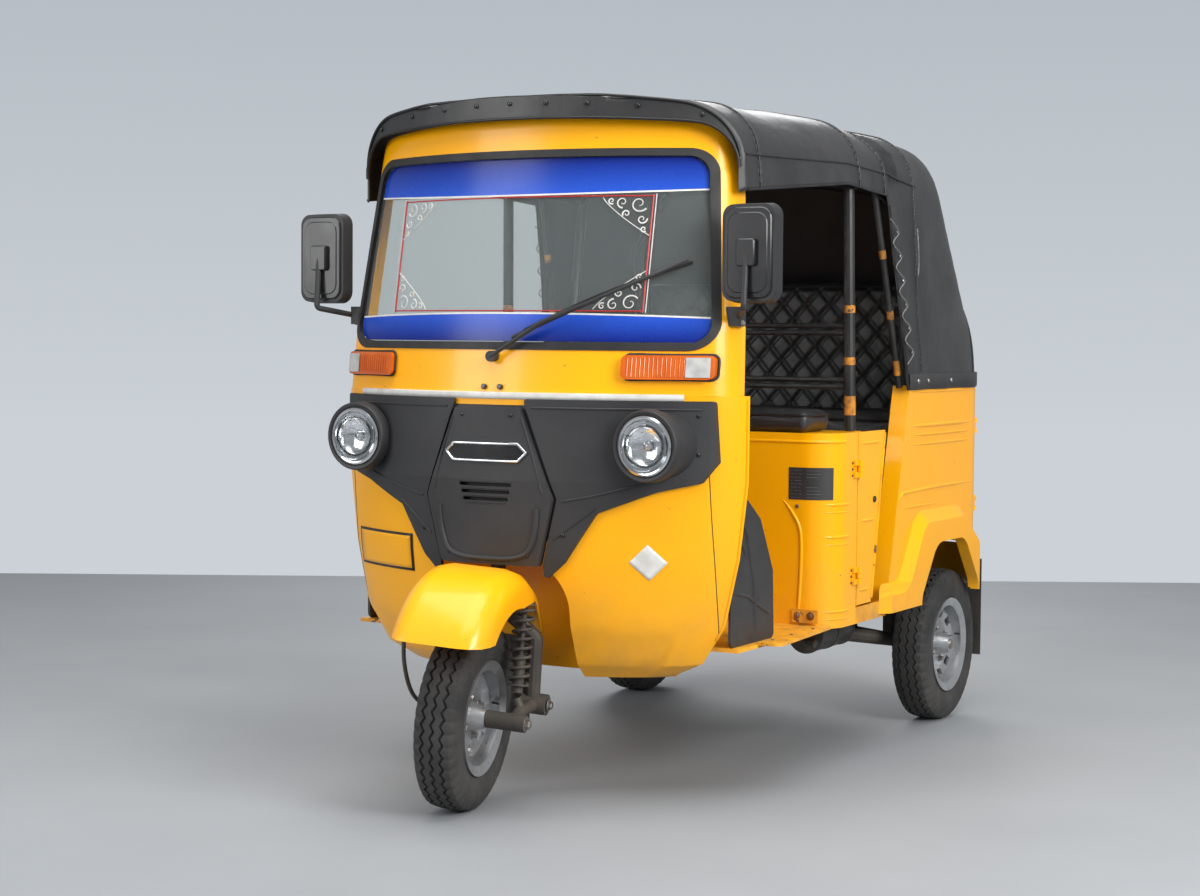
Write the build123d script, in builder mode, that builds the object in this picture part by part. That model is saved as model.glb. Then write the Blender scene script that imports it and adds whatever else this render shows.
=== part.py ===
"""A three-wheeled passenger taxi: an open cab with a vinyl top, a steered front wheel and
two driven rear wheels.

Millimetres. +Z is up, -Y is ahead and +X is the vehicle's left. The ground is z = 0.
"""
from build123d import *
from math import asin, cos, radians, sin, tan
import os

os.makedirs("parts", exist_ok=True)

# ---------------------------------------------------------------- driving sizes
SHEET = 8.0                 # a pressed panel with its folded edges
CLEAR = 6.0                 # gap round a moving panel
SEAT_GAP = 0.3              # soft pieces rest this far off what carries them

FRONT_AXLE_Y = -980.0
REAR_AXLE_Y = 980.0
TRACK_HALF = 540.0

TYRE_R = 243.0
TYRE_W = 118.0
RIM_R = 146.0               # outside of the rim's flange
RIM_SEAT_R = 134.0          # where the tyre's bead sits
HUB_R = 38.0

STEER_RAKE = 20.0           # lean of the steering axis, degrees
STEER_GROUND_Y = -1040.0    # where that axis meets the ground
PARKED_STEER = 13.0         # the bars are left turned this far to the left

BODY_HALF = 625.0           # half width over the side panels
FLOOR_Z = 415.0             # top of the floor
FLOOR_T = 10.0
SILL_Z = 452.0              # lower edge of the side panels
WAIST_Z = 1085.0            # top of the rear quarters
PANEL_TOP_Z = 958.0         # top of the seat box and the half doors
REAR_FACE_Y = 1232.0
REAR_CORNER_R = 160.0
QUARTER_LOW_Z = 420.0       # lower edge of the rear quarters
NOSE_BACK_Y = -600.0        # rear edge of the nose at the driver's doorways
TRIM_Z = 1075.0             # seam between the nose and the windscreen's surround
NOSE_WALL = 9.0
BOX_FRONT_Y = -50.0         # face of the box under the driver's seat
BOX_CORNER_R = 95.0
DOOR_FRONT_Y = 125.0
DOOR_BACK_Y = 235.0
DOOR_BACK_TOP_Y = 330.0
QUARTER_FRONT_TOP_Y = 520.0
QUARTER_FRONT_FOOT_Y = 355.0
BENCH_FRONT_Y = 560.0
FLOOR_HALF = 600.0

# Levels of the nose: height, half width, corner radius, y of the corner's centre, y of the front
NOSE_LEVELS = [
    (330.0, 440.0, 190.0, -500.0, -765.0),
    (370.0, 520.0, 200.0, -510.0, -795.0),
    (470.0, 583.0, 215.0, -510.0, -830.0),
    (650.0, 619.0, 210.0, -520.0, -856.0),
    (850.0, 640.0, 200.0, -527.0, -868.0),
    (TRIM_Z, 641.0, 200.0, -527.0, -862.0),
]
# Levels of the windscreen's surround, in the same columns
SURROUND_LEVELS = [
    (TRIM_Z, 606.0, 110.0, -600.0, -853.0),
    (1240.0, 597.0, 105.0, -590.0, -830.0),
    (1800.0, 555.0, 100.0, -505.0, -735.0),
]
SURROUND_WALL = 24.0

TUNNEL_HALF = 215.0         # the front wheel's space between the cheeks
TUNNEL_TOP_Z = 655.0
TUNNEL_BACK_Y = -612.0

STEER_AXIS = Axis((0, STEER_GROUND_Y, 0), (0, sin(radians(STEER_RAKE)), cos(radians(STEER_RAKE))))


def steer_y(height):
    """Where the steering axis stands at a height."""
    return STEER_GROUND_Y + height * tan(radians(STEER_RAKE))


def arch_outline(half_width, corner_r, corner_v, crown_v, base_v, base_half=None):
    """Lines and arcs of a round-cornered arch: straight base and sides, bowed crown."""
    base_half = half_width if base_half is None else base_half
    corner_x = half_width - corner_r
    bow = crown_v - corner_v - corner_r
    reach = (corner_x**2 + bow**2) / (2 * bow)
    turn = asin(corner_x / reach)
    meet = (corner_x + corner_r * sin(turn), corner_v + corner_r * cos(turn))
    middle_turn = (turn + radians(90)) / 2
    middle = (corner_x + corner_r * sin(middle_turn), corner_v + corner_r * cos(middle_turn))
    Line((-base_half, base_v), (base_half, base_v))
    Line((base_half, base_v), (half_width, corner_v))
    ThreePointArc((half_width, corner_v), middle, meet)
    ThreePointArc(meet, (0, crown_v), (-meet[0], meet[1]))
    ThreePointArc((-meet[0], meet[1]), (-middle[0], middle[1]), (-half_width, corner_v))
    Line((-half_width, corner_v), (-base_half, base_v))


def bent_outline(corners):
    """Closed outline of straight runs and arcs through corners given as u, v and bend radius."""
    count = len(corners)
    ends = []
    for i, (u, v, bend) in enumerate(corners):
        point = Vector(u, v)
        back = (Vector(*corners[i - 1][:2]) - point).normalized()
        on = (Vector(*corners[(i + 1) % count][:2]) - point).normalized()
        half_turn = radians(180 - back.get_angle(on)) / 2
        reach = bend * tan(half_turn)
        middle = point + (back + on).normalized() * (bend / cos(half_turn) - bend)
        ends.append((point + back * reach, middle, point + on * reach))
    for i, (start, middle, end) in enumerate(ends):
        if (end - start).length > 0.01:
            ThreePointArc(start, middle, end)
        Line(end, ends[(i + 1) % count][0])


def plan_plane(height):
    """A level plane whose own y points ahead."""
    return Plane((0, 0, height), x_dir=(-1, 0, 0), z_dir=(0, 0, 1))


def nose_solid(levels, inset, back_y):
    """Solid lofted through the levels, each drawn inset from its outline."""
    with BuildPart() as solid:
        for height, half_width, corner_r, corner_y, front_y in levels:
            with BuildSketch(plan_plane(height)):
                with BuildLine():
                    arch_outline(half_width - inset, corner_r - inset, -corner_y, -front_y - inset, -back_y)
                make_face()
        loft(ruled=True)
    return solid.part


def extended(levels, rise):
    """The same levels with the first and last ones moved out by a rise."""
    first = (levels[0][0] - rise,) + levels[0][1:]
    last = (levels[-1][0] + rise,) + levels[-1][1:]
    return [first] + levels[1:-1] + [last]


def block(x_span, y_span, z_span):
    """A box between two limits on each axis, for use as a cutter."""
    size = [high - low for low, high in (x_span, y_span, z_span)]
    middle = [(low + high) / 2 for low, high in (x_span, y_span, z_span)]
    return Pos(*middle) * Box(*size, mode=Mode.PRIVATE)


def tube(points, bend, outer_r, sides=12):
    """A bent bar, many-sided and near enough round, along straight runs and tangent arcs."""
    with BuildPart() as bent:
        with BuildLine() as path:
            if len(points) > 2:
                FilletPolyline(*points, radius=bend)
            else:
                Line(*points)
        with BuildSketch(Plane(path.line @ 0, z_dir=path.line % 0)):
            RegularPolygon(outer_r, sides)
        sweep()
    return bent.part


def tunnel_profile(grow):
    """Lines and arcs of the front wheel's space in front view, open below, grown outwards."""
    half = TUNNEL_HALF + grow
    top = TUNNEL_TOP_Z + grow
    Line((-half, 200), (half, 200))
    Line((half, 200), (half, 520))
    ThreePointArc((half, 520), (half - 45, top - 40), (half - 140, top))
    Line((half - 140, top), (-half + 140, top))
    ThreePointArc((-half + 140, top), (-half + 45, top - 40), (-half, 520))
    Line((-half, 520), (-half, 200))


# ---------------------------------------------------------------- nose
NOSE_FLOOR_Z = NOSE_LEVELS[0][0]
nose_cavity = nose_solid([(NOSE_FLOOR_Z + NOSE_WALL,) + NOSE_LEVELS[0][1:]] + NOSE_LEVELS[1:-1]
                         + [(TRIM_Z + 1,) + NOSE_LEVELS[-1][1:]], NOSE_WALL, -440)
with BuildPart() as front_shell:
    add(nose_solid(NOSE_LEVELS, 0, -460))
    add(nose_cavity, mode=Mode.SUBTRACT)
    add(block((-700, 700), (NOSE_BACK_Y, -400), (200, 1200)), mode=Mode.SUBTRACT)
    # the front wheel's space
    with BuildSketch(Plane.XZ.offset(-TUNNEL_BACK_Y)):
        with BuildLine():
            tunnel_profile(0)
        make_face()
    extrude(amount=400, mode=Mode.SUBTRACT)
front_shell.part.label = "front_shell"
export_step(front_shell.part, "parts/front_shell.step")

# ---------------------------------------------------------------- windscreen surround
SCREEN_LOW_Z = 1190.0
SCREEN_HIGH_Z = 1715.0
SCREEN_LOW_HALF = 577.0
SCREEN_HIGH_HALF = 530.0
SCREEN_CORNER_R = 70.0
SEAL_W = 20.0
surround_cavity = nose_solid(extended(SURROUND_LEVELS, 1), SURROUND_WALL, -350)
with BuildPart() as windscreen_surround:
    add(nose_solid(SURROUND_LEVELS, 0, -380))
    add(surround_cavity, mode=Mode.SUBTRACT)
    with BuildSketch(Plane.YZ.offset(-700)):
        with BuildLine():
            Polyline((-600, 1000), (-485, 1900), (-300, 1900), (-300, 1000), close=True)
        make_face()
    extrude(amount=1400, mode=Mode.SUBTRACT)
    with BuildSketch(Plane.XZ.offset(450)) as screen_hole:
        with BuildLine():
            Polyline((-SCREEN_LOW_HALF, SCREEN_LOW_Z), (SCREEN_LOW_HALF, SCREEN_LOW_Z),
                     (SCREEN_HIGH_HALF, SCREEN_HIGH_Z), (-SCREEN_HIGH_HALF, SCREEN_HIGH_Z), close=True)
        make_face()
        fillet(screen_hole.vertices(), SCREEN_CORNER_R)
    extrude(amount=500, mode=Mode.SUBTRACT)
    with BuildSketch(Plane.XZ.offset(350)):
        with BuildLine():
            arch_outline(577, 110, 1670, 1800, 1000, 640)
        make_face()
    extrude(amount=600, mode=Mode.INTERSECT)
windscreen_surround.part.label = "windscreen_surround"
export_step(windscreen_surround.part, "parts/windscreen_surround.step")


def screen_skin(outer_inset, inner_inset, hole_inset, inner_hole_inset=None):
    """A curved skin behind the surround's face, trimmed to the screen's opening."""
    with BuildPart() as skin:
        add(nose_solid(SURROUND_LEVELS, outer_inset, -380))
        add(nose_solid(extended(SURROUND_LEVELS, 1), inner_inset, -350), mode=Mode.SUBTRACT)
        with BuildSketch(Plane.XZ.offset(450)) as trim:
            with BuildLine():
                Polyline((-SCREEN_LOW_HALF + hole_inset, SCREEN_LOW_Z + hole_inset),
                         (SCREEN_LOW_HALF - hole_inset, SCREEN_LOW_Z + hole_inset),
                         (SCREEN_HIGH_HALF - hole_inset, SCREEN_HIGH_Z - hole_inset),
                         (-SCREEN_HIGH_HALF + hole_inset, SCREEN_HIGH_Z - hole_inset), close=True)
            make_face()
            fillet(trim.vertices(), SCREEN_CORNER_R - hole_inset)
            if inner_hole_inset is not None:
                with BuildSketch(Plane.XY, mode=Mode.PRIVATE) as inner:
                    with BuildLine():
                        Polyline((-SCREEN_LOW_HALF + inner_hole_inset, SCREEN_LOW_Z + inner_hole_inset),
                                 (SCREEN_LOW_HALF - inner_hole_inset, SCREEN_LOW_Z + inner_hole_inset),
                                 (SCREEN_HIGH_HALF - inner_hole_inset, SCREEN_HIGH_Z - inner_hole_inset),
                                 (-SCREEN_HIGH_HALF + inner_hole_inset, SCREEN_HIGH_Z - inner_hole_inset),
                                 close=True)
                    make_face()
                    fillet(inner.vertices(), SCREEN_CORNER_R - inner_hole_inset)
                add(inner.sketch, mode=Mode.SUBTRACT)
        extrude(amount=500, mode=Mode.INTERSECT)
    return skin.part


windscreen_glass = screen_skin(9, 14, SEAL_W)
windscreen_glass.label = "windscreen_glass"
export_step(windscreen_glass, "parts/windscreen_glass.step")
windscreen_seal = screen_skin(-3, 21, 0, SEAL_W)
windscreen_seal.label = "windscreen_seal"
export_step(windscreen_seal, "parts/windscreen_seal.step")

# ---------------------------------------------------------------- wheel tunnel
COLUMN_HOLE_R = 44.0
with BuildPart() as wheel_tunnel:
    with BuildSketch(Plane.XZ.offset(-TUNNEL_BACK_Y - SHEET)):
        with BuildLine():
            tunnel_profile(SHEET)
        make_face()
    extrude(amount=400)
    with BuildSketch(Plane.XZ.offset(-TUNNEL_BACK_Y)):
        with BuildLine():
            tunnel_profile(0)
        make_face()
    extrude(amount=400, mode=Mode.SUBTRACT)
    add(nose_cavity, mode=Mode.INTERSECT)
    with BuildSketch(Plane((0, steer_y(TUNNEL_TOP_Z), TUNNEL_TOP_Z), x_dir=(1, 0, 0),
                           z_dir=STEER_AXIS.direction)):
        Circle(COLUMN_HOLE_R)
    extrude(amount=60, both=True, mode=Mode.SUBTRACT)
wheel_tunnel.part.label = "wheel_tunnel"
export_step(wheel_tunnel.part, "parts/wheel_tunnel.step")

# ---------------------------------------------------------------- rear body
# Side view of the wheel opening and of its flare's outer edge: y, z and bend radius
ARCH_OPENING = [(580.0, 300.0, 0.0), (580.0, 440.0, 60.0), (705.0, 597.0, 95.0), (950.0, 597.0, 95.0),
                (1084.0, 440.0, 60.0), (1084.0, 300.0, 0.0)]
FLARE_OUTLINE = [(300.0, 300.0, 0.0), (300.0, 502.0, 24.0), (452.0, 502.0, 60.0), (588.0, 700.0, 110.0),
                 (955.0, 700.0, 130.0), (1128.0, 590.0, 70.0), (1128.0, 300.0, 0.0)]
FLARE_OUT = 28.0            # the flare stands this far out from the panel
FLARE_SLOPE = 52.0          # degrees its outer edge leans in
TAIL_SEAM_TURN = 42.0       # where on the rear corner the tail door begins
TAIL_CENTRE = (BODY_HALF - REAR_CORNER_R, REAR_FACE_Y - REAR_CORNER_R)
TAIL_SEAM_Y = TAIL_CENTRE[1] + REAR_CORNER_R * sin(radians(TAIL_SEAM_TURN))
TAIL_LOW_Z = 552.0
TAIL_HIGH_Z = 1055.0
SIDE_HALF = BODY_HALF - SHEET
POST_W = 46.0               # depth of the quarters' folded front posts
PLATE_Z = 490.0
PLATE_W = 240.0
PLATE_H = 96.0
PLATE_T = 5.0


def tub_shell(low_z, high_z, outset):
    """Upright wall round the rear: straight sides, round corners and a flat back."""
    with BuildPart() as shell:
        with BuildSketch(Plane.XY.offset(low_z)):
            RectangleRounded(2 * (BODY_HALF + outset), 2 * (REAR_FACE_Y + outset), REAR_CORNER_R + outset)
            RectangleRounded(2 * (BODY_HALF + outset - SHEET), 2 * (REAR_FACE_Y + outset - SHEET),
                             REAR_CORNER_R + outset - SHEET, mode=Mode.SUBTRACT)
        extrude(amount=high_z - low_z)
    return shell.part


def quarter_edge(shift):
    """Foot and top of the sloping front edge of a rear quarter."""
    return (QUARTER_FRONT_FOOT_Y + shift, QUARTER_LOW_Z), (QUARTER_FRONT_TOP_Y + shift, WAIST_Z)


HINGE_PIN_R = 4.0
KNUCKLE_R = 8.0
KNUCKLE_L = 16.0
HINGE_OUT = 9.0             # the pins stand this far outside the panels
LEAF_L = 32.0
LEAF_T = 6.0                # a moving leaf where it passes over the fixed panel's edge
LEAF_STEP = 10.0            # from here on it reaches into its own panel
DOOR_HINGE_ZS = (545.0, 853.0)
TAIL_HINGE_ZS = (690.0, 945.0)
TAIL_PIN = (TAIL_CENTRE[0] + (REAR_CORNER_R + HINGE_OUT) * cos(radians(TAIL_SEAM_TURN)),
            TAIL_CENTRE[1] + (REAR_CORNER_R + HINGE_OUT) * sin(radians(TAIL_SEAM_TURN)))


def fixed_knuckles(pin, turn, heights, side, leaf_t):
    """Knuckles above and below the moving ones, with their pins and leaves."""
    with BuildPart() as posts:
        for height in heights:
            for step in (-1, 1):
                with BuildSketch(Plane.XY.offset(height + step * (KNUCKLE_L + 1) - KNUCKLE_L / 2)):
                    with Locations(Location((pin[0], pin[1], 0), (0, 0, turn))):
                        Circle(KNUCKLE_R)
                        with Locations((-side * (2 + leaf_t / 2), -1 - LEAF_L / 2)):
                            Rectangle(leaf_t, LEAF_L)
                extrude(amount=KNUCKLE_L)
            with BuildSketch(Plane.XY.offset(height - 1.5 * KNUCKLE_L)):
                with Locations(pin):
                    Circle(HINGE_PIN_R)
            extrude(amount=3 * KNUCKLE_L)
    return posts.part


def moving_knuckles(pin, turn, heights, side, leaf_t):
    """The knuckles and leaves that turn on the pins; a leaf thickens past the fixed panel's edge."""
    with BuildPart() as knuckles:
        for height in heights:
            with BuildSketch(Plane.XY.offset(height - KNUCKLE_L / 2)):
                with Locations(Location((pin[0], pin[1], 0), (0, 0, turn))):
                    Circle(KNUCKLE_R)
                    with Locations((-side * (2 + LEAF_T / 2), 2 + LEAF_L / 2)):
                        Rectangle(LEAF_T, LEAF_L)
                    with Locations((-side * (2 + leaf_t / 2), LEAF_STEP + (LEAF_L + 2 - LEAF_STEP) / 2)):
                        Rectangle(leaf_t, LEAF_L + 2 - LEAF_STEP)
                    Circle(HINGE_PIN_R + 0.3, mode=Mode.SUBTRACT)
            extrude(amount=KNUCKLE_L)
    return knuckles.part


with BuildPart() as rear_body:
    add(tub_shell(QUARTER_LOW_Z, WAIST_Z, 0))
    foot, top = quarter_edge(0)
    with BuildSketch(Plane.YZ.offset(-700)):
        with BuildLine():
            Polyline((-1400, 300), (foot[0], 300), foot, top, (top[0], 1200), (-1400, 1200), close=True)
        make_face()
    extrude(amount=1400, mode=Mode.SUBTRACT)
    with BuildSketch(Plane.YZ.offset(-700)):
        with BuildLine():
            bent_outline(ARCH_OPENING)
        make_face()
    extrude(amount=1400, mode=Mode.SUBTRACT)
    add(block((-700, 700), (TAIL_SEAM_Y, 1400), (TAIL_LOW_Z, TAIL_HIGH_Z)), mode=Mode.SUBTRACT)
    inner_foot, inner_top = quarter_edge(SHEET)
    for side in (-1, 1):
        with BuildSketch(Plane.YZ.offset(side * (BODY_HALF - SHEET))):
            with BuildLine():
                Polyline(foot, top, inner_top, inner_foot, close=True)
            make_face()
        extrude(amount=-side * POST_W)
    add(fixed_knuckles(TAIL_PIN, TAIL_SEAM_TURN, TAIL_HINGE_ZS, 1, 12))
    # carrier of the rear number plate
    with BuildSketch(Plane.XZ.offset(-REAR_FACE_Y)):
        with Locations((0, PLATE_Z)):
            Rectangle(PLATE_W, PLATE_H)
    extrude(amount=-PLATE_T)
rear_body.part.label = "rear_body"
export_step(rear_body.part, "parts/rear_body.step")

with BuildPart() as arch_flares:
    for side in (-1, 1):
        with BuildSketch(Plane.YZ.offset(side * (BODY_HALF - 75))):
            with BuildLine():
                bent_outline(FLARE_OUTLINE)
            make_face()
        extrude(amount=side * 75)
        with BuildSketch(Plane.YZ.offset(side * BODY_HALF)):
            with BuildLine():
                bent_outline(FLARE_OUTLINE)
            make_face()
        extrude(amount=side * FLARE_OUT, taper=FLARE_SLOPE)
    with BuildSketch(Plane.YZ.offset(-700)):
        with BuildLine():
            bent_outline(ARCH_OPENING)
        make_face()
    extrude(amount=1400, mode=Mode.SUBTRACT)
    add(block((-700, 700), (0, 1400), (200, QUARTER_LOW_Z - 5)), mode=Mode.SUBTRACT)
    with BuildSketch(Plane.XY.offset(300)):
        RectangleRounded(2 * BODY_HALF, 2 * REAR_FACE_Y, REAR_CORNER_R)
    extrude(amount=600, mode=Mode.SUBTRACT)
arch_flares.part.label = "arch_flares"
export_step(arch_flares.part, "parts/arch_flares.step")

# ---------------------------------------------------------------- tail door
with BuildPart() as tail_door:
    add(tub_shell(TAIL_LOW_Z + CLEAR, TAIL_HIGH_Z - CLEAR, 0))
    add(block((-700, 700), (-1400, TAIL_SEAM_Y + CLEAR), (300, 1200)), mode=Mode.SUBTRACT)
    add(moving_knuckles(TAIL_PIN, TAIL_SEAM_TURN, TAIL_HINGE_ZS, 1, 12))
tail_door.part.label = "tail_door"
export_step(tail_door.part, "parts/tail_door.step")

# ---------------------------------------------------------------- seat box and half doors
BOX_FOOT_Z = 405.0
BOX_BACK_Y = 205.0
BOX_SIDE_BACK_Y = DOOR_FRONT_Y - 2.0
with BuildPart() as seat_box:
    with BuildSketch(Plane.XY.offset(BOX_FOOT_Z)) as box_plan:
        with Locations((0, (BOX_FRONT_Y + BOX_SIDE_BACK_Y) / 2)):
            Rectangle(2 * BODY_HALF, BOX_SIDE_BACK_Y - BOX_FRONT_Y)
        fillet(box_plan.vertices().group_by(Axis.Y)[0], BOX_CORNER_R)
        with Locations((0, BOX_BACK_Y - 50)):
            Rectangle(2 * FLOOR_HALF, 100)
    extrude(amount=PANEL_TOP_Z - BOX_FOOT_Z)
    offset(amount=-SHEET, openings=seat_box.faces().sort_by(Axis.Z)[0])
    for side in (-1, 1):
        add(fixed_knuckles((side * (BODY_HALF + HINGE_OUT), DOOR_FRONT_Y), 0, DOOR_HINGE_ZS, side, 8))
seat_box.part.label = "seat_box"
export_step(seat_box.part, "parts/seat_box.step")

for name, side in (("half_door_left", 1), ("half_door_right", -1)):
    with BuildPart() as half_door:
        with BuildSketch(Plane.YZ.offset(side * (BODY_HALF - SHEET))) as leaf:
            with BuildLine():
                Polyline((DOOR_FRONT_Y + 3, SILL_Z + 6), (DOOR_BACK_Y, SILL_Z + 6),
                         (DOOR_BACK_TOP_Y, PANEL_TOP_Z), (DOOR_FRONT_Y + 3, PANEL_TOP_Z), close=True)
            make_face()
        extrude(amount=side * SHEET)
        add(moving_knuckles((side * (BODY_HALF + HINGE_OUT), DOOR_FRONT_Y), 0, DOOR_HINGE_ZS, side, 8))
    half_door.part.label = name
    export_step(half_door.part, "parts/" + name + ".step")

# ---------------------------------------------------------------- floor and steps
with BuildPart() as floor_pan:
    with BuildSketch(Plane.XY.offset(FLOOR_Z - FLOOR_T)):
        with Locations((0, (NOSE_BACK_Y + BENCH_FRONT_Y) / 2)):
            Rectangle(2 * FLOOR_HALF, BENCH_FRONT_Y - NOSE_BACK_Y)
        with Locations((0, (BOX_FRONT_Y + BOX_BACK_Y) / 2)):
            Rectangle(2 * BODY_HALF, BOX_BACK_Y - BOX_FRONT_Y + 1, mode=Mode.SUBTRACT)
    extrude(amount=FLOOR_T)
    add(block((-32, 32), (NOSE_BACK_Y, -520), (300, 500)), mode=Mode.SUBTRACT)
    # sills under the half doors
    for side in (-1, 1):
        add(block(sorted((side * (BODY_HALF - SHEET), side * BODY_HALF)), (BOX_SIDE_BACK_Y + SEAT_GAP,
                                                                           352), (FLOOR_Z - FLOOR_T, SILL_Z)))
        add(block(sorted((side * FLOOR_HALF, side * BODY_HALF)), (BOX_BACK_Y + 1, 352), (FLOOR_Z - FLOOR_T,
                                                                                         FLOOR_Z)))
    # riser down to the nose's floor
    for side in (-1, 1):
        with BuildSketch(Plane.XY.offset(NOSE_FLOOR_Z)):
            with Locations((side * 330, NOSE_BACK_Y + SHEET / 2)):
                Rectangle(180, SHEET)
        extrude(amount=FLOOR_Z - NOSE_FLOOR_Z)
floor_pan.part.label = "floor_pan"
export_step(floor_pan.part, "parts/floor_pan.step")

STEP_OUT = 668.0
STEP_FRONT_Y = -480.0
with BuildPart() as side_steps:
    for side in (-1, 1):
        with BuildSketch(Plane.XY.offset(FLOOR_Z - 2)) as tread:
            with BuildLine():
                Polyline((side * (FLOOR_HALF + 0.3), STEP_FRONT_Y), (side * STEP_OUT, STEP_FRONT_Y),
                         (side * (BODY_HALF + 10), BOX_FRONT_Y - 25), (side * (FLOOR_HALF + 0.3),
                                                                       BOX_FRONT_Y - 10),
                         close=True)
            make_face()
            fillet(tread.vertices().sort_by(Axis.Y)[:2].sort_by(Axis.X)[-1 if side > 0 else 0], 25)
        extrude(amount=SHEET)
side_steps.part.label = "side_steps"
export_step(side_steps.part, "parts/side_steps.step")

# ---------------------------------------------------------------- bench, cushions
WHEELHOUSE_HALF = 440.0
WHEELHOUSE_TOP_Z = 722.0
BENCH_TOP_Z = 885.0
BENCH_BACK_Y = 1150.0
with BuildPart() as bench_base:
    with BuildSketch(Plane.XZ.offset(-BENCH_FRONT_Y)):
        with BuildLine():
            Polyline((-WHEELHOUSE_HALF, 345), (WHEELHOUSE_HALF, 345), (WHEELHOUSE_HALF, WHEELHOUSE_TOP_Z),
                     (SIDE_HALF - 1, WHEELHOUSE_TOP_Z), (SIDE_HALF - 1, BENCH_TOP_Z), (-SIDE_HALF + 1,
                                                                                       BENCH_TOP_Z),
                     (-SIDE_HALF + 1, WHEELHOUSE_TOP_Z), (-WHEELHOUSE_HALF, WHEELHOUSE_TOP_Z), close=True)
        make_face()
        with BuildLine():
            Polyline((-WHEELHOUSE_HALF + SHEET, 200), (WHEELHOUSE_HALF - SHEET, 200),
                     (WHEELHOUSE_HALF - SHEET, WHEELHOUSE_TOP_Z + SHEET),
                     (SIDE_HALF - 1 - SHEET, WHEELHOUSE_TOP_Z + SHEET), (SIDE_HALF - 1 - SHEET,
                                                                         BENCH_TOP_Z - SHEET),
                     (-SIDE_HALF + 1 + SHEET, BENCH_TOP_Z - SHEET), (-SIDE_HALF + 1 + SHEET,
                                                                     WHEELHOUSE_TOP_Z + SHEET),
                     (-WHEELHOUSE_HALF + SHEET, WHEELHOUSE_TOP_Z + SHEET), close=True)
        make_face(mode=Mode.SUBTRACT)
    extrude(amount=-(BENCH_BACK_Y - BENCH_FRONT_Y))
    with BuildSketch(Plane.XZ.offset(-BENCH_FRONT_Y)):
        with BuildLine():
            Polyline((-SIDE_HALF + 1, FLOOR_Z - FLOOR_T), (SIDE_HALF - 1, FLOOR_Z - FLOOR_T),
                     (SIDE_HALF - 1, BENCH_TOP_Z), (-SIDE_HALF + 1, BENCH_TOP_Z), close=True)
        make_face()
    extrude(amount=-SHEET)
    with BuildSketch(Plane.XY.offset(300)):
        RectangleRounded(2 * (SIDE_HALF - 1), 2 * (REAR_FACE_Y - SHEET - 1), REAR_CORNER_R - SHEET - 1)
    extrude(amount=700, mode=Mode.INTERSECT)
bench_base.part.label = "bench_base"
export_step(bench_base.part, "parts/bench_base.step")

CUSHION_HALF = 585.0
with BuildPart() as passenger_cushion:
    add(block((-CUSHION_HALF, CUSHION_HALF), (535, 930), (BENCH_TOP_Z + SEAT_GAP, 1005)))
    fillet(passenger_cushion.edges().filter_by(Axis.X).group_by(Axis.Z)[-1], 35)
    fillet(passenger_cushion.edges().filter_by(Axis.Z), 40)
passenger_cushion.part.label = "passenger_cushion"
export_step(passenger_cushion.part, "parts/passenger_cushion.step")

BACKREST_HALF = 529.0
with BuildPart() as passenger_backrest:
    with BuildSketch(Plane.YZ.offset(-BACKREST_HALF)) as slab:
        with BuildLine():
            Polyline((935, BENCH_TOP_Z + SEAT_GAP), (1015, BENCH_TOP_Z + SEAT_GAP), (1028, 1392), (962,
                                                                                                   1425), close=True)
        make_face()
        fillet(slab.vertices().group_by(Axis.Y)[-1], 25)
    extrude(amount=2 * BACKREST_HALF)
passenger_backrest.part.label = "passenger_backrest"
export_step(passenger_backrest.part, "parts/passenger_backrest.step")

with BuildPart() as driver_seat:
    add(block((-546, 546), (-52, 132), (PANEL_TOP_Z + SEAT_GAP, 1022)))
    fillet(driver_seat.edges().filter_by(Axis.X).group_by(Axis.Z)[-1], 22)
    fillet(driver_seat.edges().filter_by(Axis.Z), 30)
driver_seat.part.label = "driver_seat"
export_step(driver_seat.part, "parts/driver_seat.step")


# ---------------------------------------------------------------- canopy frame
HOOP_R = 16.0
RAIL_R = 8.0
FRONT_BOW_Z = 1829.0
B_FOOT = (582.0, 165.0, PANEL_TOP_Z + 1.6)
B_TOP = (575.0, 148.0, 1700.0)
SECOND_TOP = (564.0, 600.0, 1680.0)
SIDE_RAIL_Z = 1672.0
ROOF_BOW_Z = 1818.0
BOW_RISE = 44.0
BAR_ZS = (1086.0, 1106.0, 1242.0, 1262.0)
STRUT_R = 10.0
STRUT_FOOT = (597.0, 506.0, 1080.0)
STRUT_TOP = (570.0, 338.0, 1700.0)
REAR_POST_FOOT = (598.0, QUARTER_FRONT_TOP_Y + 28, WAIST_Z - 60)


def hoop(foot, shoulder, bow_half, bow_y, bow_z, bend=90):
    """A tube up one side, bowed across under the roof and down the other side."""
    return tube([(-foot[0], foot[1], foot[2]), (-shoulder[0], shoulder[1], shoulder[2]), (-bow_half, bow_y,
                                                                                          bow_z),
                 (0, bow_y, bow_z + BOW_RISE), (bow_half, bow_y, bow_z), shoulder, foot], bend, HOOP_R)


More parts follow.
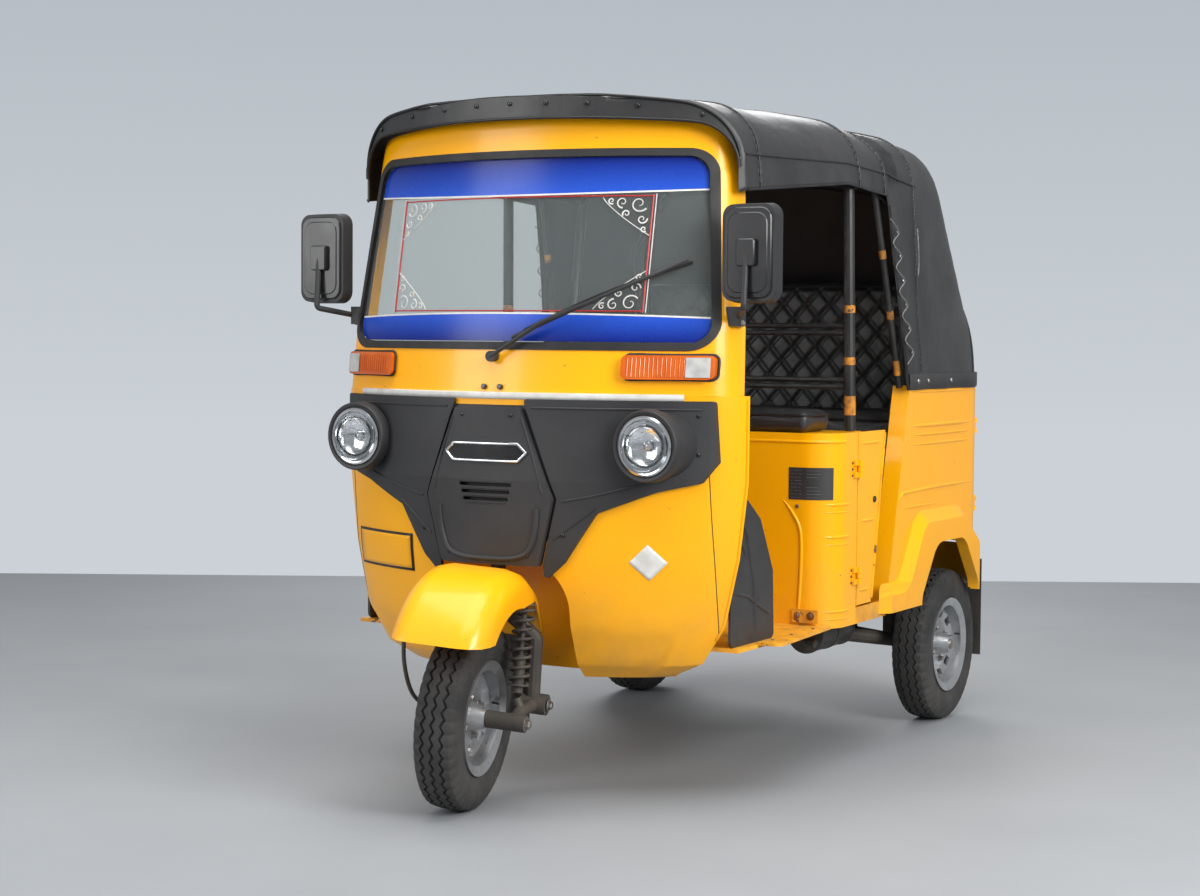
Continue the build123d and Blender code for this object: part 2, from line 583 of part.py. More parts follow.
with BuildPart() as canopy_frame:
    add(hoop(B_FOOT, B_TOP, 440, B_TOP[1] - 3, ROOF_BOW_Z))
    add(hoop(REAR_POST_FOOT, SECOND_TOP, 422, 610, ROOF_BOW_Z - 6))
    add(hoop((588, 1060, WAIST_Z - 60), (536, 935, 1530), 370, 828, 1700))
    add(tube([(-470, -575, 1800), (-400, -580, FRONT_BOW_Z), (400, -580, FRONT_BOW_Z), (470, -575, 1800)],
             30, RAIL_R))
    for half in (-366.0, 366.0):
        add(tube([(half, -580, FRONT_BOW_Z), (half, B_TOP[1], ROOF_BOW_Z), (half, 600, ROOF_BOW_Z), (half,
                                                                                                     828, 1704)],
                 20, RAIL_R))
    for height in BAR_ZS:
        share = (height - B_FOOT[2]) / (B_TOP[2] - B_FOOT[2])
        bar_y = B_FOOT[1] + share * (B_TOP[1] - B_FOOT[1])
        add(tube([(-578, bar_y, height), (578, bar_y, height)], 0, RAIL_R))
    # side rails between two hoops, and the struts from them that carry the curtains' front edges
    for side in (-1, 1):
        add(tube([(side * B_TOP[0], B_TOP[1], SIDE_RAIL_Z), (side * SECOND_TOP[0], SECOND_TOP[1],
                                                             SIDE_RAIL_Z)], 0, STRUT_R))
        add(tube([(side * STRUT_FOOT[0], *STRUT_FOOT[1:]), (side * STRUT_TOP[0], *STRUT_TOP[1:])], 0,
                 STRUT_R))
canopy_frame.part.label = "canopy_frame"
export_step(canopy_frame.part, "parts/canopy_frame.step")

# ---------------------------------------------------------------- canopy
VINYL = 8.0
CANOPY_OUT = VINYL + SEAT_GAP
CANOPY_FRONT_Y = -775.0
CANOPY_BASE_Z = WAIST_Z - 17.0
VALANCE_FRONT_Z = 1598.0
VALANCE_MID_Z = 1658.0
CURTAIN_TOP_Y = 366.0
CURTAIN_FOOT_Y = 490.0
# Cross-sections of the roof: y, half width, corner radius, height of the corner's centre, crown
ROOF_LEVELS = [
    (-800.0, 588.0, 150.0, 1682.0, 1853.0),
    (-450.0, 600.0, 160.0, 1690.0, 1880.0),
    (100.0, 612.0, 170.0, 1690.0, 1908.0),
    (750.0, 592.0, 165.0, 1680.0, 1896.0),
    (1350.0, 566.0, 160.0, 1660.0, 1866.0),
]


def roof_loft(inset):
    """Solid lofted through the roof's cross-sections down to a base below the hem."""
    with BuildPart() as solid:
        for y, half_width, corner_r, corner_z, crown_z in ROOF_LEVELS:
            with BuildSketch(Plane.XZ.offset(-y)):
                with BuildLine():
                    arch_outline(half_width - inset, corner_r - inset, corner_z, crown_z - inset,
                                 CANOPY_BASE_Z - 100, BODY_HALF + 24 - inset)
                make_face()
        loft(ruled=True)
    return solid.part


def canopy_plan(inset):
    """Plan of the canopy: bowed front that follows the windscreen, round rear corners."""
    with BuildPart() as prism:
        with BuildSketch(plan_plane(900)):
            with BuildLine():
                arch_outline(BODY_HALF + CANOPY_OUT - inset, 150 - inset, 480, -CANOPY_FRONT_Y - inset, -400)
            make_face()
        extrude(amount=1200)
        with BuildSketch(Plane.XY.offset(900)):
            RectangleRounded(2 * (BODY_HALF + CANOPY_OUT - inset), 2 * (REAR_FACE_Y + CANOPY_OUT - inset),
                             REAR_CORNER_R + CANOPY_OUT - inset)
            with Locations((0, -REAR_FACE_Y)):
                Rectangle(2000, 2 * REAR_FACE_Y, mode=Mode.SUBTRACT)
        extrude(amount=1200)
    return prism.part


def canopy_side(inset, low_z):
    """Solid with the canopy's side view: roofline, sloping back and the lower edge."""
    back_foot = REAR_FACE_Y + CANOPY_OUT - inset
    shoulder = [(852 - inset, 1804 - inset), (930 - inset, 1665)]
    with BuildPart() as slab:
        with BuildSketch(Plane.YZ.offset(-800)) as view:
            with BuildLine():
                Polyline((-900, low_z), (-900, 2000), (560, 2000), (620, 1914 - inset), *shoulder,
                         (1124 - inset, 1290), (back_foot, 1105), (back_foot, low_z), close=True)
            make_face()
            fillet([view.vertices().sort_by_distance(point)[0] for point in shoulder], 90)
        extrude(amount=1600)
    return slab.part


with BuildPart() as canopy_inside:
    add(roof_loft(VINYL))
    add(canopy_side(VINYL, 900), mode=Mode.INTERSECT)
    add(canopy_plan(VINYL), mode=Mode.INTERSECT)

with BuildPart() as canopy:
    add(roof_loft(0))
    add(canopy_side(0, CANOPY_BASE_Z), mode=Mode.INTERSECT)
    add(canopy_plan(0), mode=Mode.INTERSECT)
    add(canopy_inside.part, mode=Mode.SUBTRACT)
    # open below the valances, ahead of the curtains
    with BuildSketch(Plane.YZ.offset(-800)):
        with BuildLine():
            Polyline((-1400, 900), (-1400, VALANCE_FRONT_Z), (-620, VALANCE_FRONT_Z), (60, VALANCE_MID_Z),
                     (CURTAIN_TOP_Y, VALANCE_MID_Z - 15), (CURTAIN_FOOT_Y, CANOPY_BASE_Z), (CURTAIN_FOOT_Y,
                                                                                            900),
                     close=True)
        make_face()
    extrude(amount=1600, mode=Mode.SUBTRACT)
    # the windscreen's header shows through the front
    with BuildSketch(Plane.XZ.offset(400)):
        with BuildLine():
            arch_outline(580, 106, 1672, 1790, 900, 604)
        make_face()
    extrude(amount=600, mode=Mode.SUBTRACT)
canopy.part.label = "canopy"
export_step(canopy.part, "parts/canopy.step")

# ---------------------------------------------------------------- fascia, lamps and signals
FASCIA_T = 12.0
FASCIA_TOP_Z = 1062.0
LAMP_X = 448.0
LAMP_Z = 949.0
LAMP_FACE_Y = -838.0
LAMP_R = 66.0
POD_R = 88.0
nose_outer = nose_solid(NOSE_LEVELS, 0, -460)
nose_skin = nose_solid(NOSE_LEVELS, -FASCIA_T, -440) - nose_outer


def ahead(outline_points, bend, low_y=-560):
    """Cutter with a rounded outline in front view, reaching ahead from low_y."""
    with BuildPart() as cutter:
        with BuildSketch(Plane.XZ.offset(-low_y)):
            with BuildLine():
                FilletPolyline(*outline_points, radius=bend, close=True)
            make_face()
        extrude(amount=500)
    return cutter.part


CENTRE_OUTLINE = [(-98, 1040), (98, 1040), (192, 805), (150, 628), (-150, 628), (-192, 805)]
with BuildPart() as fascia_centre:
    add(nose_solid([(z, h + FASCIA_T + 8, r + FASCIA_T + 8, cy, fy - FASCIA_T - 8) for z, h, r, cy,
                    fy in NOSE_LEVELS],
                   0, -440))
    add(nose_outer, mode=Mode.SUBTRACT)
    add(ahead(CENTRE_OUTLINE, 12), mode=Mode.INTERSECT)
    for row in range(3):
        with BuildSketch(Plane.XZ.offset(700)):
            with Locations((0, 838 - 19 * row)):
                SlotOverall(160 - 10 * row, 9)
        extrude(amount=400, mode=Mode.SUBTRACT)
fascia_centre.part.label = "fascia_centre"
export_step(fascia_centre.part, "parts/fascia_centre.step")

WING_OUTLINE = [(104, FASCIA_TOP_Z), (572, FASCIA_TOP_Z), (580, 905), (545, 852), (445, 828), (300, 770),
                (215, 640), (160, 590), (158, 628), (201, 805)]
def wing_solid(side):
    """One side of the fascia with its lamp pod and the pod's recess."""
    outline = [(side * x, z) for x, z in WING_OUTLINE]
    with BuildPart() as wing:
        add(nose_skin)
        add(ahead(outline, 8), mode=Mode.INTERSECT)
        with BuildSketch(Plane.XZ.offset(-LAMP_FACE_Y)):
            with Locations((side * LAMP_X, LAMP_Z)):
                Circle(POD_R)
        extrude(amount=-180)
        add(nose_outer, mode=Mode.SUBTRACT)
        with BuildSketch(Plane.XZ.offset(-LAMP_FACE_Y)):
            with Locations((side * LAMP_X, LAMP_Z)):
                Circle(LAMP_R + 4)
        extrude(amount=-32, mode=Mode.SUBTRACT)
    return wing.part


with BuildPart() as fascia_wings:
    for side in (-1, 1):
        add(wing_solid(side))
fascia_wings.part.label = "fascia_wings"
export_step(fascia_wings.part, "parts/fascia_wings.step")

with BuildPart() as headlamps:
    for side in (-1, 1):
        with BuildSketch(Plane.XZ.offset(-LAMP_FACE_Y - 3)):
            with Locations((side * LAMP_X, LAMP_Z)):
                Circle(LAMP_R)
        extrude(amount=-29)
headlamps.part.label = "headlamps"
export_step(headlamps.part, "parts/headlamps.step")

SIGNAL_T = 20.0
SIGNAL_X = 463.0
SIGNAL_Z = 1148.0
signal_skin = nose_solid(SURROUND_LEVELS, -SIGNAL_T, -350) - nose_solid(SURROUND_LEVELS, -SEAT_GAP, -340)
with BuildPart() as turn_signals:
    add(signal_skin)
    with BuildSketch(Plane.XZ.offset(450)):
        with Locations((-SIGNAL_X, SIGNAL_Z), (SIGNAL_X, SIGNAL_Z)):
            RectangleRounded(214, 62, 14)
    extrude(amount=500, mode=Mode.INTERSECT)
turn_signals.part.label = "turn_signals"
export_step(turn_signals.part, "parts/turn_signals.step")

# ---------------------------------------------------------------- wheels
TYRE_SIDES = 44


def many_sided(stations):
    """A many-sided solid about the X axis through stations of x and radius."""
    with BuildPart() as solid:
        for x, radius in stations:
            with BuildSketch(Plane.YZ.offset(x)):
                RegularPolygon(radius, TYRE_SIDES)
        loft(ruled=True)
    return solid.part


def tyre_solid():
    """Tyre about the X axis: beads, bulged walls, shoulders and tread."""
    half = TYRE_W / 2
    tread = [(half, 199), (half - 4, 219), (half - 13, 236), (20, TYRE_R)]
    dish = [(half + 0.5, 192), (half - 3, 172), (48, RIM_R + 6), (44, RIM_SEAT_R)]
    with BuildPart() as ring:
        add(many_sided([(-x, r) for x, r in tread] + [(x, r) for x, r in reversed(tread)]))
        add(many_sided(dish), mode=Mode.SUBTRACT)
        add(many_sided([(-x, r) for x, r in dish]), mode=Mode.SUBTRACT)
        with BuildSketch(Plane.YZ.offset(-half)):
            Circle(RIM_SEAT_R)
        extrude(amount=2 * half, mode=Mode.SUBTRACT)
    return ring.part


RIM_HOLES = 8
RIM_HOLE_PITCH_R = 92.0
HUB_REACH = 58.0            # how far the hub stands out from the wheel's middle plane
HUB_BACK = 50.0
SPINDLE_R = 12.0
SPINDLE_BORE_R = SPINDLE_R + 0.4


def rim_solid(out):
    """Pressed wheel about the X axis, its dish and hub towards out (+1 or -1)."""
    with BuildPart() as rim:
        with BuildSketch(Plane.XZ):
            with BuildLine():
                Polyline((-56, RIM_R + 4), (-50, RIM_R + 4), (-44, RIM_SEAT_R - 0.2), (44, RIM_SEAT_R - 0.2),
                         (50, RIM_R + 4), (56, RIM_R + 4), (47, RIM_SEAT_R - 9), (out * 12, RIM_SEAT_R - 9),
                         (out * 26, RIM_SEAT_R - 32), (out * 14, 76), (out * 14, HUB_R), (out * HUB_REACH,
                                                                                          HUB_R - 12),
                         (out * HUB_REACH, SPINDLE_BORE_R), (-out * HUB_BACK, SPINDLE_BORE_R),
                         (-out * HUB_BACK, HUB_R), (out * 6, HUB_R), (out * 6, 80), (out * 17,
                                                                                     RIM_SEAT_R - 34),
                         (-out * 2, RIM_SEAT_R - 9), (-47, RIM_SEAT_R - 9), close=True)
            make_face()
        revolve(axis=Axis.X)
        with BuildSketch(Plane.YZ.offset(-60)):
            with PolarLocations(RIM_HOLE_PITCH_R, RIM_HOLES):
                Rectangle(18, 34)
        extrude(amount=120, mode=Mode.SUBTRACT)
    return rim.part


REAR_HUB = (TRACK_HALF, REAR_AXLE_Y, TYRE_R)
for name, side in (("left", 1), ("right", -1)):
    tyre = Pos(side * REAR_HUB[0], REAR_HUB[1], REAR_HUB[2]) * tyre_solid()
    tyre.label = "rear_tyre_" + name
    export_step(tyre, "parts/rear_tyre_" + name + ".step")
    rim = Pos(side * REAR_HUB[0], REAR_HUB[1], REAR_HUB[2]) * rim_solid(side)
    rim.label = "rear_rim_" + name
    export_step(rim, "parts/rear_rim_" + name + ".step")

# ---------------------------------------------------------------- rear axle, engine and frame
FRAME_HALF = 280.0
FRAME_W = 50.0
FRAME_TOP_Z = FLOOR_Z - FLOOR_T
FRAME_LOW_Z = 345.0
TOW_EYE = (1257.0, 374.0)
TOW_EYE_R = 10.0
TOW_EYE_T = 12.0
HEAD_R = 34.0
HEAD_BORE_R = 20.4
HEAD_LOW_Z = 668.0
HEAD_HIGH_Z = 930.0
STEER_TILT = Plane((0, steer_y(HEAD_LOW_Z), HEAD_LOW_Z), x_dir=(1, 0, 0), z_dir=STEER_AXIS.direction)
HEAD_L = (HEAD_HIGH_Z - HEAD_LOW_Z) / cos(radians(STEER_RAKE))
with BuildPart() as chassis_frame:
    for side in (-1, 1):
        add(block((side * FRAME_HALF - FRAME_W / 2, side * FRAME_HALF + FRAME_W / 2), (-500, 1190),
                  (FRAME_LOW_Z, FRAME_TOP_Z)))
    for y in (-480, 320, 1175):
        add(block((-FRAME_HALF, FRAME_HALF), (y - 15, y + 15), (FRAME_LOW_Z + 5, FRAME_TOP_Z)))
    # tow eye under the tail
    with BuildSketch(Plane.YZ.offset(-TOW_EYE_T / 2)) as eye:
        with BuildLine():
            Polyline((1188, 345), (1273.8, 350), (1273.8, 398), (1188, 405), close=True)
        make_face()
        fillet(eye.vertices().group_by(Axis.Y)[-1], 14)
        with Locations(TOW_EYE):
            Circle(TOW_EYE_R, mode=Mode.SUBTRACT)
    extrude(amount=TOW_EYE_T)
    # steering head on its stem behind the wheel tunnel
    with BuildSketch(STEER_TILT):
        Circle(HEAD_R)
    extrude(amount=HEAD_L)
    add(tube([(0, -480, 368), (0, -575, 372), (0, -575, 700), (0, steer_y(840) + 20, 840)], 60, 24))
    with BuildSketch(STEER_TILT):
        Circle(HEAD_BORE_R)
    extrude(amount=HEAD_L, mode=Mode.SUBTRACT)
chassis_frame.part.label = "chassis_frame"
export_step(chassis_frame.part, "parts/chassis_frame.step")

ENGINE_HALF = 170.0
with BuildPart() as engine_block:
    add(block((-ENGINE_HALF, ENGINE_HALF), (720, 1130), (235, 560)))
    fillet(engine_block.edges().filter_by(Axis.X), 30)
    for y in (790, 1060):
        with BuildSketch(Plane.YZ.offset(-(FRAME_HALF - FRAME_W / 2))):
            with Locations((y, 372)):
                Circle(18)
        extrude(amount=2 * (FRAME_HALF - FRAME_W / 2))
engine_block.part.label = "engine_block"
export_step(engine_block.part, "parts/engine_block.step")

CARRIER_FACE_X = TRACK_HALF - HUB_BACK - 0.5
with BuildPart() as rear_suspension:
    for side in (-1, 1):
        with BuildSketch(Plane.YZ.offset(side * CARRIER_FACE_X)):
            with Locations((REAR_AXLE_Y, TYRE_R)):
                Circle(46)
        extrude(amount=-side * 45)
        with BuildSketch(Plane.YZ.offset(side * (CARRIER_FACE_X + 45))):
            with Locations((REAR_AXLE_Y, TYRE_R)):
                Circle(SPINDLE_R)
        extrude(amount=-side * 60)
        # trailing arm to its pivot under the frame
        add(tube([(side * 465, REAR_AXLE_Y, TYRE_R), (side * 440, 860, 262), (side * 300, 640, 300)], 60, 22))
        with BuildSketch(Plane.YZ.offset(side * 330)):
            with Locations((640, 300)):
                Circle(30)
        extrude(amount=-side * 80)
        with BuildSketch(Plane.YZ.offset(side * 320)):
            with BuildLine():
                Polyline((618, 300), (662, 300), (680, FRAME_LOW_Z), (600, FRAME_LOW_Z), close=True)
            make_face()
        extrude(amount=-side * 50)
        # half shaft from the gearbox
        add(tube([(side * (ENGINE_HALF + 3), REAR_AXLE_Y, 275), (side * 455, REAR_AXLE_Y, TYRE_R + 4)], 0,
                 13))
        # damper up to the wheel house
        add(block(sorted((side * 390, side * 452)), (REAR_AXLE_Y - 58, REAR_AXLE_Y - 22), (250, 274)))
        add(tube([(side * 405, REAR_AXLE_Y - 40, 262), (side * 405, REAR_AXLE_Y - 40, 560)], 0, 24))
        add(block(sorted((side * 395, side * 431.7)), (REAR_AXLE_Y - 60, REAR_AXLE_Y - 20), (530, 590)))
rear_suspension.part.label = "rear_suspension"
export_step(rear_suspension.part, "parts/rear_suspension.step")

with BuildPart() as rear_flaps:
    for side in (-1, 1):
        add(block(sorted((side * 475, side * 605)), (REAR_FACE_Y + 8, REAR_FACE_Y + 14), (178, 498)))
        add(block(sorted((side * 425, side * 600)), (REAR_FACE_Y + 0.5, REAR_FACE_Y + 8), (455, 495)))
rear_flaps.part.label = "rear_flaps"
export_step(rear_flaps.part, "parts/rear_flaps.step")

with BuildPart() as tail_lamps:
    for side in (-1, 1):
        add(block(sorted((side * 270, side * 415)), (REAR_FACE_Y, REAR_FACE_Y + 22), (468, 538)))
tail_lamps.part.label = "tail_lamps"
export_step(tail_lamps.part, "parts/tail_lamps.step")

# ---------------------------------------------------------------- steering
COLUMN_R = 20.0
MUDGUARD_R = 300.0
MUDGUARD_Y = -1000.0
MUDGUARD_Z = 335.0
MUDGUARD_HALF = 128.0
MUDGUARD_T = 4.0
LINK_X = 126.0              # the leading link runs this far to the wheel's left
LINK_PIVOT = (LINK_X, -800.0, 262.0)
FRONT_HUB = (0.0, FRONT_AXLE_Y, TYRE_R)
SPRING_FOOT = (LINK_X - 14, -915.0, 285.0)
SPRING_TOP = (LINK_X - 24, -872.0, 545.0)
BARS_Z = 1020.0

front_tyre_straight = Pos(*FRONT_HUB) * tyre_solid()


def steer(piece):
    """A piece drawn straight ahead, turned about the steering axis to where it is parked."""
    return piece.rotate(STEER_AXIS, PARKED_STEER)


# a leaned wheel stands lower, so the front rides up until its tyre touches the ground
SETTLE = -steer(front_tyre_straight).bounding_box().min.Z


def parked(piece, label):
    """The turned piece at its ride height, under its name."""
    moved = Pos(0, 0, SETTLE) * steer(piece)
    moved.label = label
    return moved


front_tyre = parked(front_tyre_straight, "front_tyre")
export_step(front_tyre, "parts/front_tyre.step")
front_rim = parked(Pos(*FRONT_HUB) * rim_solid(1), "front_rim")
export_step(front_rim, "parts/front_rim.step")

stem_y = steer_y(535)
with BuildPart() as fork:
    add(tube([(0, steer_y(BARS_Z), BARS_Z), (0, stem_y, 535), (118, -812, 440), (118, -800, 262)], 22,
             COLUMN_R))
    # pivot boss, leading link and stub axle
    with BuildSketch(Plane.YZ.offset(LINK_X - 34)):
        with Locations(LINK_PIVOT[1:]):
            Circle(28)
    extrude(amount=68)
    add(tube([LINK_PIVOT, (LINK_X, SPRING_FOOT[1], 262), (LINK_X, FRONT_AXLE_Y, TYRE_R)], 20, 16))
    add(tube([(LINK_X, SPRING_FOOT[1], 262), Vector(*SPRING_FOOT) + Vector(0, 0, 8)], 0, 12))
    with BuildSketch(Plane.YZ.offset(HUB_REACH + 0.5)):
        with Locations((FRONT_AXLE_Y, TYRE_R)):
            Circle(23)
    extrude(amount=LINK_X + 38 - HUB_REACH)
    with BuildSketch(Plane.YZ.offset(-HUB_BACK + 10)):
        with Locations((FRONT_AXLE_Y, TYRE_R)):
            Circle(SPINDLE_R)
    extrude(amount=HUB_BACK + HUB_REACH)
    # upper seat of the spring
    with BuildSketch(Plane.XY.offset(545)):
        with Locations((SPRING_TOP[0] / 2, SPRING_TOP[1] + 8)):
            RectangleRounded(SPRING_TOP[0] + 20, 50, 12)
    extrude(amount=8)
fork_parked = parked(fork.part, "fork")
export_step(fork_parked, "parts/fork.step")

spring_axis = Vector(*SPRING_TOP) - Vector(*SPRING_FOOT)
with BuildPart() as front_spring:
    with BuildSketch(Plane(Vector(*SPRING_FOOT) + spring_axis.normalized() * 22, z_dir=spring_axis)):
        Circle(15)
    extrude(amount=spring_axis.length - 24.6)
    for turn in range(8):
        with BuildSketch(Plane(Vector(*SPRING_FOOT) + spring_axis.normalized() * (52 + 24 * turn),
                               z_dir=spring_axis)):
            RegularPolygon(28, 16)
        extrude(amount=9)
front_spring_parked = parked(front_spring.part, "front_spring")
export_step(front_spring_parked, "parts/front_spring.step")

MUDGUARD_SKIRT_R = 205.0
MUDGUARD_SHOULDER_R = 62.0


def mudguard_profile(inset):
    """Shouldered section of the mudguard, drawn outwards from its centre line in straight runs."""
    half = MUDGUARD_HALF - inset
    crown = MUDGUARD_R - inset
    shoulder = MUDGUARD_SHOULDER_R - inset
    side = [(half, MUDGUARD_SKIRT_R - inset), (half, crown - shoulder)]
    for turn in (30, 60, 90):
        side.append((half - shoulder * (1 - cos(radians(turn))), crown - shoulder * (1 - sin(radians(turn)))))
    Polyline(*side, *[(-u, v) for u, v in reversed(side)], close=True)


with BuildPart() as front_mudguard:
    section_plane = Plane((0, MUDGUARD_Y, MUDGUARD_Z), x_dir=(1, 0, 0), z_dir=(0, 0, -1))
    wheel_line = Axis((0, MUDGUARD_Y, MUDGUARD_Z), (-1, 0, 0))
    with BuildSketch(section_plane):
        with BuildLine():
            mudguard_profile(0)
        make_face()
    revolve(axis=wheel_line, revolution_arc=180)
    with BuildSketch(section_plane):
        with BuildLine():
            mudguard_profile(MUDGUARD_T)
        make_face()
    revolve(axis=wheel_line, revolution_arc=180, mode=Mode.SUBTRACT)
    # lower edge: level ahead, raised over the spring, dropped behind
    with BuildSketch(Plane.YZ.offset(-200)):
        with BuildLine():
            FilletPolyline((-1400, 468), (-1130, 468), (-1030, 530), (-860, 545), (-770, 430), (-650, 415),
                           (-650, 200), (-1400, 200), radius=18, close=True)
        make_face()
    extrude(amount=400, mode=Mode.SUBTRACT)
    # the column passes through the crown
    with BuildSketch(Plane((0, steer_y(600), 600), x_dir=(1, 0, 0), z_dir=STEER_AXIS.direction)):
        Circle(COLUMN_R + 7)
    extrude(amount=80, both=True, mode=Mode.SUBTRACT)
front_mudguard_parked = parked(front_mudguard.part, "front_mudguard")
export_step(front_mudguard_parked, "parts/front_mudguard.step")

with BuildPart() as front_flap:
    with BuildSketch(Plane.YZ.offset(-80)):
        with BuildLine():
            Polyline((-722.8, 423), (-717.8, 423), (-695, 176), (-700, 176), close=True)
        make_face()
    extrude(amount=160)
front_flap_parked = parked(front_flap.part, "front_flap")
export_step(front_flap_parked, "parts/front_flap.step")

with BuildPart() as handlebar:
    add(tube([(-300, -505, 968), (-150, -590, 1015), (150, -590, 1015), (300, -505, 968)], 60, 11))
    add(tube([(0, steer_y(1015) + 21.6, 1016), (0, -590, 1015)], 0, 14))
    for side in (-1, 1):
        grip = Vector(side * 150, 85, -47).normalized()
        with BuildSketch(Plane(Vector(side * 300, -505, 968) - grip * 4, z_dir=grip)):
            Circle(17)
        extrude(amount=-118)
handlebar_parked = parked(handlebar.part, "handlebar")
export_step(handlebar_parked, "parts/handlebar.step")


# ---------------------------------------------------------------- small body pieces
MIRROR_X = 665.0
MIRROR_Y = -700.0
MIRROR_Z = 1440.0
MIRROR_W = 146.0
MIRROR_H = 245.0
MIRROR_T = 40.0
with BuildPart() as mirror_heads:
    for side in (-1, 1):
        with BuildSketch(Plane.XZ.offset(-MIRROR_Y)):
            with Locations((side * MIRROR_X, MIRROR_Z)):
                RectangleRounded(MIRROR_W, MIRROR_H, 30)
        extrude(amount=-MIRROR_T, taper=-6)
mirror_heads.part.label = "mirror_heads"
export_step(mirror_heads.part, "parts/mirror_heads.step")

with BuildPart() as mirror_arms:
    for side in (-1, 1):
        with BuildSketch(Plane.XZ.offset(-MIRROR_Y)):
            with Locations((side * MIRROR_X, MIRROR_Z)):
                RectangleRounded(44, 60, 8)
        extrude(amount=18)
        add(tube([(side * MIRROR_X, MIRROR_Y - 14, MIRROR_Z), (side * MIRROR_X, MIRROR_Y - 24,
                                                               MIRROR_Z - 140),
                  (side * 602, -622, MIRROR_Z - 160)], 12, 8))
        add(block(sorted((side * 575, side * 608)), (-640, -592), (MIRROR_Z - 185, MIRROR_Z - 135)))
    add(nose_solid(SURROUND_LEVELS, 0, -380), mode=Mode.SUBTRACT)
mirror_arms.part.label = "mirror_arms"
export_step(mirror_arms.part, "parts/mirror_arms.step")

WIPER_PIVOT_Z = 1188.0
with BuildPart() as wiper:
    with BuildSketch(Plane.XZ.offset(839)):
        with Locations((0, WIPER_PIVOT_Z - 16)):
            Circle(14)
    extrude(amount=26)
    add(nose_solid(SURROUND_LEVELS, 0, -380), mode=Mode.SUBTRACT)
    add(tube([(0, -862, WIPER_PIVOT_Z - 16), (150, -853, 1262), (300, -823, 1322)], 40, 6))
    add(tube([(60, -850, 1222), (170, -840, 1268), (300, -812, 1326), (420, -760, 1382), (500, -714,
                                                                                          1424)], 60, 5))
wiper.part.label = "wiper"
export_step(wiper.part, "parts/wiper.step")

DASH_LOW_Z = 1108.0
with BuildPart() as dashboard:
    with BuildSketch(plan_plane(DASH_LOW_Z)):
        with BuildLine():
            arch_outline(579.1, 84.3, 597, 821.6, 590)
        make_face()
    extrude(amount=14)
    with BuildSketch(Plane.XY.offset(DASH_LOW_Z + 14)):
        with Locations((0, -700)):
            RectangleRounded(240, 110, 30)
    extrude(amount=60, taper=12)
dashboard.part.label = "dashboard"
export_step(dashboard.part, "parts/dashboard.step")

GUARD_OUT = 577.0
GUARD_SIDE = [(-597.0, FLOOR_Z), (-330.0, FLOOR_Z), (-340.0, 600.0), (-420.0, 742.0), (-500.0, 798.0),
              (-597.0, 822.0)]
with BuildPart() as footwell_guards:
    for side in (-1, 1):
        with BuildSketch(Plane.YZ.offset(side * GUARD_OUT)):
            with BuildLine():
                FilletPolyline(*GUARD_SIDE, radius=20, close=True)
            make_face()
        extrude(amount=-side * 7)
footwell_guards.part.label = "footwell_guards"
export_step(footwell_guards.part, "parts/footwell_guards.step")

with BuildPart() as silencer:
    with BuildSketch(Plane.XZ.offset(-215)):
        with Locations((430, FLOOR_Z - FLOOR_T - 55.3)):
            Circle(55)
    extrude(amount=-230)
silencer.part.label = "silencer"
export_step(silencer.part, "parts/silencer.step")
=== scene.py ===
import math
import random

import bmesh
import bpy
from mathutils import Matrix, Vector, noise
from mathutils.bvhtree import BVHTree


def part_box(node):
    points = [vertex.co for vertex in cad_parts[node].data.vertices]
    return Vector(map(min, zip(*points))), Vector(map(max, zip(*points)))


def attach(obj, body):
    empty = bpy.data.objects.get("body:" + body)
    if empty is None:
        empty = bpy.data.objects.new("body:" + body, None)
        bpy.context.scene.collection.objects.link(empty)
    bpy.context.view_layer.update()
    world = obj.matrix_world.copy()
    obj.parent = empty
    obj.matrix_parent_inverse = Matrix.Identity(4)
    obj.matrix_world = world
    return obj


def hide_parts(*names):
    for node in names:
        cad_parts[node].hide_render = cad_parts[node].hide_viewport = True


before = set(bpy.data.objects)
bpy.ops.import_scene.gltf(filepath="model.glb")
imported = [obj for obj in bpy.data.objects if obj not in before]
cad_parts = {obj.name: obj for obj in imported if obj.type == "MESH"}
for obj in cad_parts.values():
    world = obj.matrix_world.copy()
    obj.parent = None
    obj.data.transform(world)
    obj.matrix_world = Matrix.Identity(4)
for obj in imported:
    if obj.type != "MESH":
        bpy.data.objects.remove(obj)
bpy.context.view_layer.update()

scene = bpy.context.scene
scene.view_settings.view_transform = "Standard"
TAU = 2 * math.pi

# ------------------------------------------------------------------ materials


